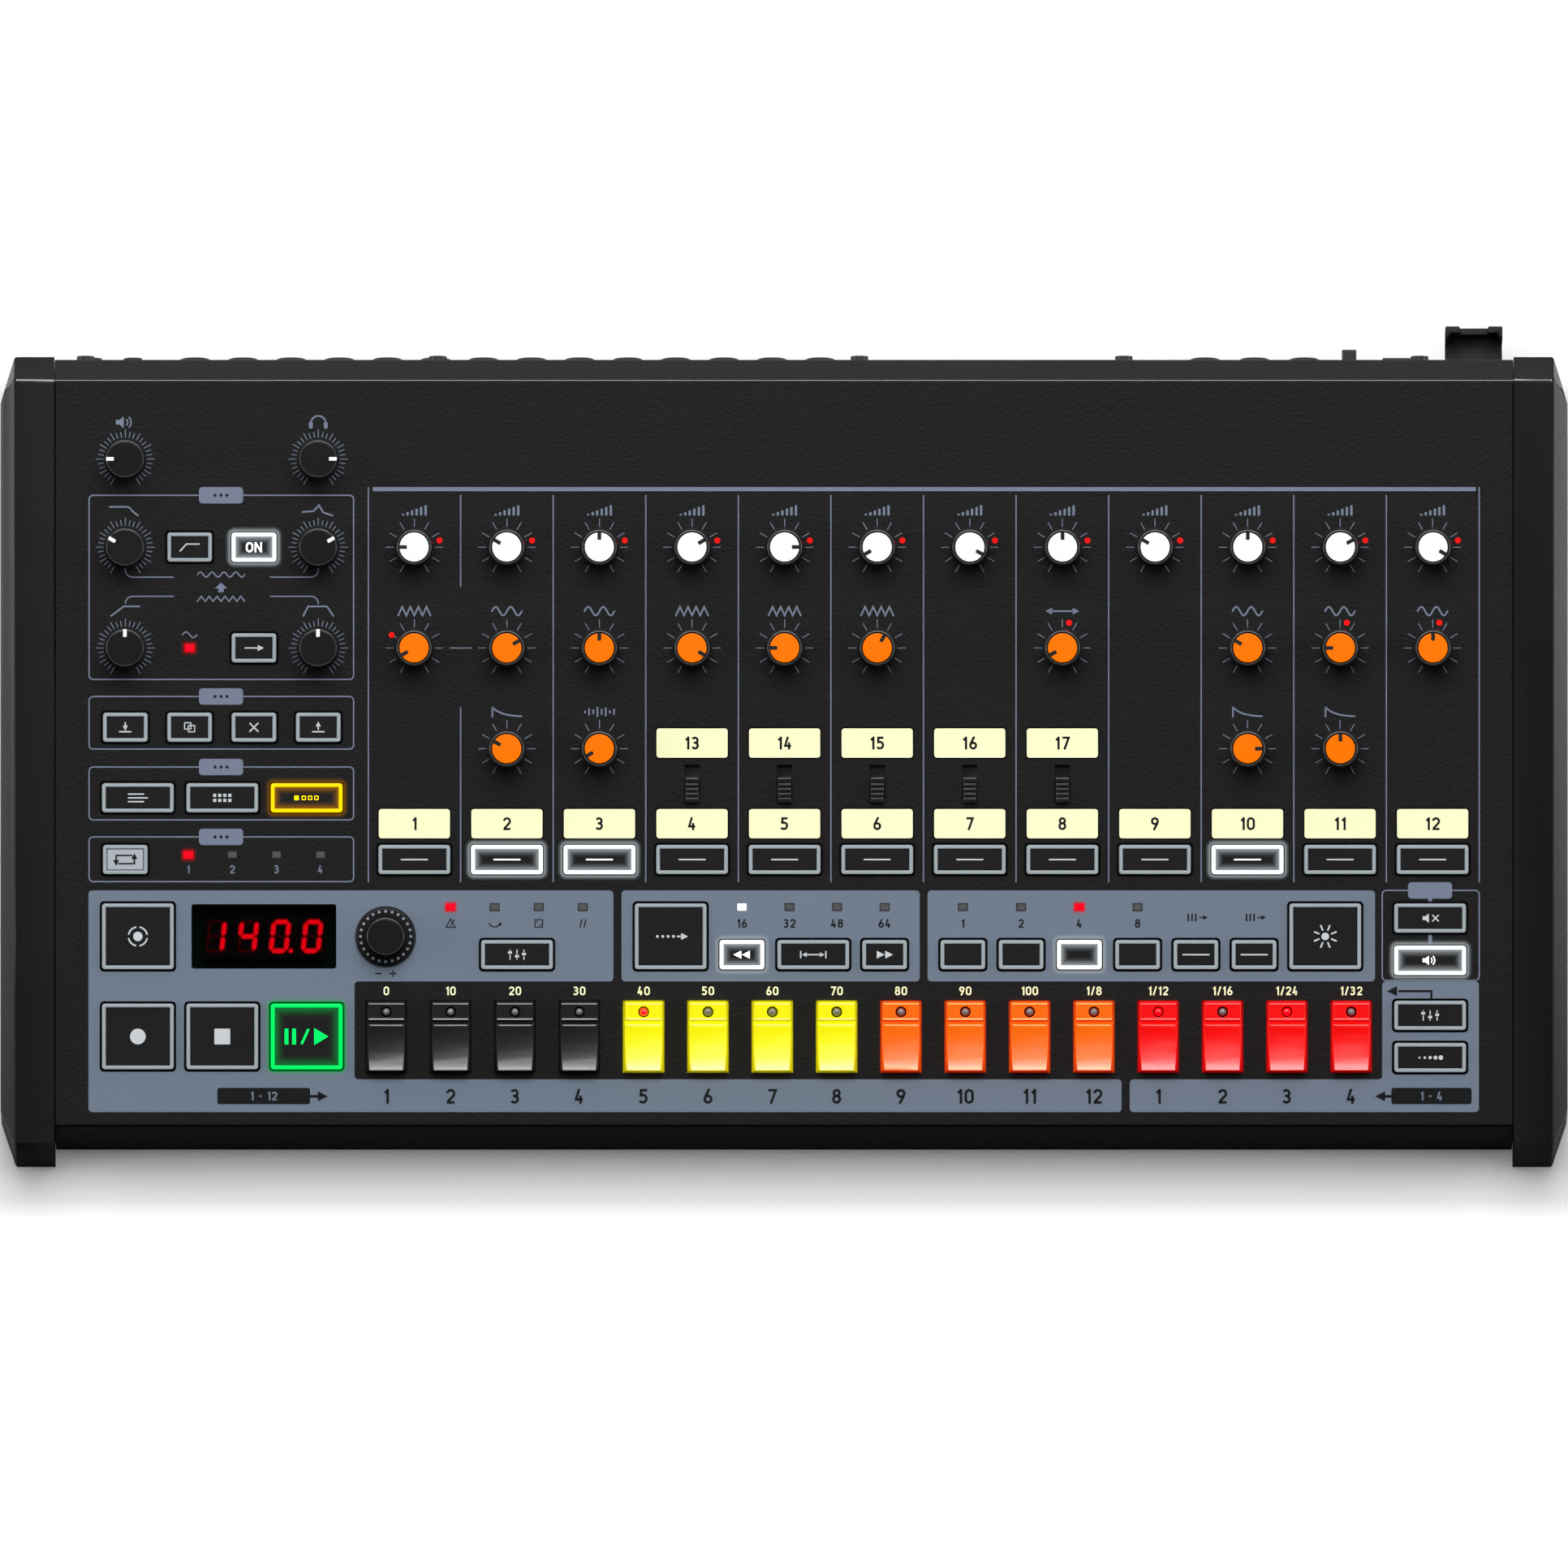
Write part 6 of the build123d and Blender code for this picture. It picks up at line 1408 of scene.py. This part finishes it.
def left_block_prints():
    """The four boxes with their tabs, the brackets between the knobs and the arrow."""
    marks = []
    for low, high in BOX_SPANS:
        marks.append(line_box(BOX_LEFT, BOX_RIGHT, low, high))
        marks.append(plate(rounded(*TAB_SIZE, 1.1) + (TAB_X, high), INK_LOW, SECOND_INK))
    for side in (-1, 1):
        marks += [plate(bracket(side, *rows), INK_LOW, INK) for rows in BRACKET_ROWS]
    marks.append(printed([BLOCK_ARROW], TAB_X, LEFT_ARROW_V))
    marks.append(printed(wave(15.0, 0.8, 4), TAB_X, LEFT_WAVE_V))
    marks.append(printed(zigzag(15.0, 0.8, 6), TAB_X, LEFT_ZIGZAG_V))
    return marks


def grid_prints():
    """The header bar and the lines between the channels."""
    marks = [plate(block(HEADER_LEFT, HEADER_RIGHT, HEADER_LOW, HEADER_HIGH, 0.1), INK_LOW, SECOND_INK)]
    marks += [rule(x, GRID_LOW, x, GRID_HIGH) for x in (GRID_LEFT, GRID_RIGHT)]
    for i in range(1, CHANNELS):
        x = channel_x(i) - CHANNEL_PITCH / 2
        stops = (GRID_LOW, *RULE_GAP, CHANNEL_RULE_HIGH) if i == 1 else (GRID_LOW, CHANNEL_RULE_HIGH)
        marks += [rule(x, low, x, high) for low, high in zip(stops[::2], stops[1::2])]
    middle = channel_x(1) - CHANNEL_PITCH / 2
    marks.append(rule(middle - RULE_LINK_REACH, TONE_ROW_V, middle + RULE_LINK_REACH, TONE_ROW_V))
    marks.append(line_box(TRACK_LEFT, GRID_RIGHT, TRACK_LOW, BLUE_HIGH))
    marks.append(plate(rounded(*TAB_SIZE, 1.1) + (TRACK_X, BLUE_HIGH), INK_LOW, SECOND_INK))
    return marks + [rule(TRACK_X, start, TRACK_X, end, TRACK_LINK_WIDTH) for start, end in TRACK_LINKS]


def holes_in(low_v, high_v, left, right):
    """The outlines of everything that stands through the panel inside a stretch of it."""
    holes = [rounded(w + 2 * CONTROL_GAP + 0.1, l + 2 * CONTROL_GAP + 0.1, BUTTON_CORNER) + (x, v)
             for x, v, (w, l), _, _ in SMALL_BUTTONS + LARGE_BUTTONS]
    holes += [rounded(LAMP_SIZE[0] + 0.3, LAMP_SIZE[1] + 0.3, 0.1) + (x, v) for x, v, _ in LAMPS]
    holes.append(rounded(DISPLAY_SIZE[0] + 0.1, DISPLAY_SIZE[1] + 0.1, 0.8) + (DISPLAY_X, TRANSPORT_ROW_V))
    holes.append(circle(3.4) + (DATA_X, TRANSPORT_ROW_V))
    inside = []
    for hole in holes:
        (x0, v0), (x1, v1) = hole.min(axis=0), hole.max(axis=0)
        if left < x0 and x1 < right and low_v < v0 and v1 < high_v:
            inside.append(hole)
    return inside


def cornered(points):
    """An outline with right-angled corners, each rounded by a quarter circle."""
    points = np.array(points, dtype=float)
    before = np.roll(points, 1, axis=0) - points
    after = np.roll(points, -1, axis=0) - points
    before /= np.linalg.norm(before, axis=1)[:, None]
    after /= np.linalg.norm(after, axis=1)[:, None]
    t = np.linspace(0, math.pi / 2, 7)[:, None]
    arcs = [p + CORNER * (b + a - np.cos(t) * a - np.sin(t) * b) for p, b, a in zip(points, before, after)]
    return np.concatenate(arcs)


def blue_area_prints():
    """The blue grey areas round the transport buttons, the two lamp rows, the key numbers and the side buttons."""
    left_top = [(BLUE_LEFT, BLUE_LOW), (BLUE_LEFT, BLUE_HIGH), (STEP_LEFT, BLUE_HIGH), (STEP_LEFT, INSET_HIGH),
                (INSET_LEFT, INSET_HIGH), (INSET_LEFT, INSET_LOW), (NUMBERS_RIGHT, INSET_LOW),
                (NUMBERS_RIGHT, BLUE_LOW)]
    side = [(PATTERN_LEFT, BLUE_LOW), (PATTERN_LEFT, INSET_LOW), (INSET_RIGHT, INSET_LOW),
            (INSET_RIGHT, INSET_HIGH), (BLUE_RIGHT, INSET_HIGH), (BLUE_RIGHT, BLUE_LOW)]
    areas = [(cornered(left_top), (BLUE_LOW, BLUE_HIGH, BLUE_LEFT, STEP_LEFT))]
    for left, right in ((STEP_RIGHT, LENGTH_RIGHT), (REPEAT_LEFT, REPEAT_RIGHT)):
        areas.append((block(left, right, INSET_HIGH, BLUE_HIGH), (INSET_HIGH, BLUE_HIGH, left, right)))
    areas.append((cornered(side), (BLUE_LOW, INSET_HIGH, INSET_RIGHT, BLUE_RIGHT)))
    return [pierced(outline, holes_in(*span), INK_LOW, INK) for outline, span in areas]


def black_prints():
    """Numbers, pictograms, tags and arrows printed on the blue areas, and numbers on the cream plates."""
    low, high = INK - 0.01, SECOND_INK
    length_x = LENGTH_X - LENGTH_SIDE_PITCH
    texts = [(number, KEY_TEXT, key_x(i), KEY_NUMBER_V) for i, number in enumerate([*range(1, 13), *range(1, 5)])]
    texts += [(16 * (i + 1), SMALL_TEXT, length_x + i * LENGTH_LAMP_PITCH, LAMP_TEXT_V) for i in range(4)]
    texts += [(2 ** i, SMALL_TEXT, REPEAT_X + i * REPEAT_PITCH, LAMP_TEXT_V) for i in range(4)]
    texts += [(i + 1, PLATE_TEXT, *place) for i, place in enumerate(CREAM_PLACES)]
    marks = [numeral(str(number), height, x, v, low, high) for number, height, x, v in texts]
    outlines = [(mark, TEMPO_LAMP_X + i * SYNC_LAMP_PITCH, LAMP_TEXT_V)
                for i, mark in enumerate((CLOCK_MARK, SWING_MARK, CHANCE_MARK, DOUBLE_STRIKE))]
    outlines += [(REPEAT_MARK, REPEAT_X + i * REPEAT_PITCH, REPEAT_MARK_V) for i in (4, 5)]
    bent = line([(205.6, 40.4), (205.6, 43.0), (195.4, 43.0)], 0.7)
    outlines += [(MORE_LESS, DATA_X, DATA_MARK_V), (bent + arrow_head(193.4, 43.0, 3.2, -90), 0, 0)]
    for left, right, start, end, tip, turn in TAGS:
        outlines.append(([block(left, right, TAG_LOW, TAG_HIGH, 0.8)], 0, 0))
        outlines.append((line([(start, 0), (end, 0)], 0.9) + arrow_head(tip, 0, 3.2, turn), 0, KEY_NUMBER_V))
    marks += [printed(mark, x, v, low, high) for mark, x, v in outlines]
    trio = in_row(3, 1.9, lambda i, x: bar_at(x, 0, 0.9, 0.9, 0.2))
    marks += [printed(trio, TAB_X, top, SECOND_INK - 0.01, SECOND_INK + 0.02) for _, top in BOX_SPANS]
    return marks


def tag_prints():
    """Light figures on the two black tags and on the track tab."""
    low, high = SECOND_INK - 0.01, SECOND_INK + 0.02
    return [numeral(text, SMALL_TEXT, x, 9.7, low, high) for text, x in (("1 - 12", -165.2), ("1 - 4", 205.6))]


KEY_SCALE = [*(str(10 * i) for i in range(11)), "1/8", "1/12", "1/16", "1/24", "1/32"]


def cream_prints():
    """Cream plates for the channel numbers, and a scale of values over the keys."""
    marks = [plate(rounded(*CREAM_SIZE, 0.9) + place, INK_LOW, INK) for place in CREAM_PLACES]
    return marks + [numeral(text, SMALL_TEXT, key_x(i), SCALE_V) for i, text in enumerate(KEY_SCALE)]


RED_DOT_PLACES = {"level": 75, "tone_knob_01": -60, "tone_knob_08": 15, "tone_knob_11": 15, "tone_knob_12": 15}


def red_prints():
    """A red dot at one place on each dial that has a mark to set it by."""
    marks = []
    dot_shape = plate(circle(0.95, 28) + (0, 8.3), INK_LOW, SECOND_INK)
    for name in knob_limits():
        for start, angle in RED_DOT_PLACES.items():
            if name.startswith(start):
                marks.append(moved(dot_shape, *panel_place(name), 0, angle))
    return marks


def rim_prints():
    """A black rim round every button's opening, painted shade of the gap round the button, and a dark rim round every
    cream plate.
    """
    rims = []
    for x, v, (w, l), _, _ in ALL_BUTTONS:
        near, far = 2 * CONTROL_GAP, 2 * CONTROL_GAP + 0.7
        rim = band(rounded(w + far, l + far, 1.4), rounded(w + near, l + near, 1.1), INK_LOW, SECOND_INK)
        rims.append(moved(rim, x, v))
    width, length = CREAM_SIZE
    rim = band(rounded(width + 0.9, length + 0.9, 1.2), rounded(width, length, 0.9), INK_LOW, INK)
    return rims + [moved(rim, x, v) for x, v in CREAM_PLACES]


SEAM_WIDTH = 0.32


def seam_lines():
    """Painted shade: dark lines on the panel along the gaps between its face and its end cheeks."""
    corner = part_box("top_panel")[1]
    edge, rear = corner[0] / MM, (corner[2] / MM - BEND[2]) / UP[2]
    return [plate(block(x, x + SEAM_WIDTH, 0.7, rear - 0.8, 0.02), INK_LOW, INK) for x in (-edge, edge - SEAM_WIDTH)]


def print_panel():
    """Everything printed on the panel, with the painted shade of the gaps round the buttons and cheeks, one piece for
    each ink and layer.
    """
    lines = dial_prints() + label_prints() + left_block_prints() + grid_prints()
    prints = {"blue_areas": (blue_area_prints(), BLUE_INK), "blue_lines": (lines, LINE_INK),
              "cream_plates": (cream_prints(), CREAM_INK), "red_marks": (red_prints(), RED_INK),
              "black_figures": (black_prints(), BLACK_INK), "tag_figures": (tag_prints(), LINE_INK),
              "black_rims_and_gap_shade": (rim_prints() + seam_lines(), RIM_AND_GAP_SHADE)}
    for name, (shapes, material) in prints.items():
        make_piece(f"panel_{name}", together(shapes), "chassis", material, sharp=20.0)


SHADE_SHEET_MARGIN = 2.4
SHADE_SHEET_LOW, SHADE_SHEET_HIGH = -3.65, -3.5


def dark_gaps():
    """Black sheets under the buttons, painted shade, so that no light shows round them."""
    return [moved(plate(rounded(w + SHADE_SHEET_MARGIN, l + SHADE_SHEET_MARGIN, 1.0), SHADE_SHEET_LOW, SHADE_SHEET_HIGH), x, v)
            for x, v, (w, l), _, _ in ALL_BUTTONS]


# ------------------------------------------------------------------ stage
STAGE_SIZE = 40.0
CAMERA_DISTANCE = 16.0
VIEW_WIDTH = 498.0
VIEW_CENTRE_V = 108.8
SENSOR_WIDTH = 36.0
# Along y, in metres: where the floor's painted darker bounce ends, and where the floor brightens in front of the
# object.
DIM_BOUNCE_EDGE = (-0.2, 0.05)
BRIGHT_EDGE = (-0.175, -0.143)
DIM_BOUNCE_SHARE = 0.01
FLOOR_BOUNCE = 0.6
FLOOR_GREY = 0.86
FLOOR_GLOW = 0.9
FLOOR_LIFT = 0.1
RING_LIGHT = 0.8
FRONT_LIGHT = 0.04
LIT_PLACE = (0, 0, 0.03)


def floor_material():
    """A white sweep that keeps the object's shadow. The camera sees it brightened, less so near the object, which is
    painted shade;
    the light it throws back is held down, most of all in front, where the floor's colour for it is painted darker."""
    material, tree, shader = new_material("white sweep")
    shader.inputs["Roughness"].default_value = 0.9
    shader.inputs["Specular IOR Level"].default_value = 0.0
    shader.inputs["Emission Color"].default_value = (1, 1, 1, 1)
    path = add(tree, "ShaderNodeLightPath").outputs
    place = parted(tree, add(tree, "ShaderNodeTexCoord").outputs["Object"])
    # Painted shade in bounced and reflected light: the floor is darker in front.
    dim_bounce = ranged(tree, place[1], *DIM_BOUNCE_EDGE, DIM_BOUNCE_SHARE, FLOOR_BOUNCE)
    grey = add(tree, "ShaderNodeCombineColor", [(i, dim_bounce) for i in range(3)])
    links = [(0, path["Is Camera Ray"]), (6, grey.outputs[0]), (7, (FLOOR_GREY, FLOOR_GREY, FLOOR_GREY, 1))]
    colour = add(tree, "ShaderNodeMix", links, data_type="RGBA")
    tree.links.new(colour.outputs[2], shader.inputs["Base Color"])
    seen = calculate(tree, "MAXIMUM", path["Is Camera Ray"], path["Is Transmission Ray"])
    # Painted shade: the camera sees the floor less brightened near the object.
    near = ranged(tree, place[1], *BRIGHT_EDGE, FLOOR_GLOW, FLOOR_LIFT)
    tree.links.new(calculate(tree, "MULTIPLY", seen, near), shader.inputs["Emission Strength"])
    return material


def ring_light(tree):
    """World light by direction: a bright ring near the horizon, dark overhead and dim in front."""
    ray = parted(tree, add(tree, "ShaderNodeTexCoord").outputs["Generated"])
    low = ranged(tree, ray[2], 0.5, 0.7, RING_LIGHT, 0.0, interpolation_type="SMOOTHSTEP")
    behind = ranged(tree, ray[1], -0.7, 0.1, FRONT_LIGHT, 1.0, interpolation_type="SMOOTHSTEP")
    return calculate(tree, "MULTIPLY", low, behind)


def make_stage():
    """The floor, and the light that comes from all round."""
    mesh = bpy.data.meshes.new("sweep")
    s = STAGE_SIZE
    mesh.from_pydata([(-s, -s, 0), (s, -s, 0), (s, s, 0), (-s, s, 0)], [], [(0, 1, 2, 3)])
    mesh.materials.append(floor_material())
    floor = new_object("sweep", mesh)

    world = bpy.data.worlds.new("studio")
    bpy.context.scene.world = world
    world.use_nodes = True
    tree = world.node_tree
    background = tree.nodes["Background"]
    path = add(tree, "ShaderNodeLightPath")
    strength = add(tree, "ShaderNodeMix", [("Factor", path.outputs["Is Camera Ray"]), (2, ring_light(tree)),
                                           (3, 1.0)])
    tree.links.new(strength.outputs[0], background.inputs["Strength"])
    background.inputs["Color"].default_value = (1, 1, 1, 1)


def area_light(name, place, size, power):
    """A soft square light at place, in metres, turned to face the object."""
    data = bpy.data.lights.new(name, "AREA")
    data.shape = "RECTANGLE"
    data.size, data.size_y = size
    data.energy = power
    light = new_object(name, data)
    light.location = place
    light.rotation_euler = (Vector(LIT_PLACE) - Vector(place)).to_track_quat("-Z", "Y").to_euler()
    return light


def light_scene():
    """A soft light over the rear, and a brighter strip behind it that shows only as a reflection."""
    area_light("rear soft light", (0.0, 0.55, 1.82), (1.3, 1.0), 33.0).visible_glossy = False
    area_light("rear strip", (0.0, 1.08, 1.58), (2.2, 0.5), 45.0).visible_diffuse = False
    for name, x in (("left fill", -1.9), ("right fill", 1.9)):
        area_light(name, (x, -0.05, 0.7), (0.9, 1.2), 8.0)


def make_camera():
    """A long lens square on to the panel, as wide as the object."""
    data = bpy.data.cameras.new("square on")
    data.sensor_width = SENSOR_WIDTH
    data.lens = SENSOR_WIDTH * CAMERA_DISTANCE / (VIEW_WIDTH * MM)
    data.clip_end = 100.0
    camera = new_object("square on", data)
    place = (BEND + UP * VIEW_CENTRE_V) * MM + OUT * CAMERA_DISTANCE
    camera.matrix_world = Matrix([*np.column_stack([RIGHT, UP, OUT, place]).tolist(), (0, 0, 0, 1)])
    bpy.context.scene.camera = camera


bpy.context.scene.view_settings.view_transform = "Standard"
dress_case()
dress_knobs()
dress_data_knob()
dress_buttons("select", SELECT_BUTTONS)
dress_buttons("small", SMALL_BUTTONS)
dress_buttons("large", LARGE_BUTTONS)
dress_keys()
dress_key_edges()
dress_lamps()
dress_display()
print_panel()
make_piece("button_gap_shade", together(dark_gaps()), "chassis", GAP_SHADE_BLACK)
make_stage()
light_scene()
make_camera()
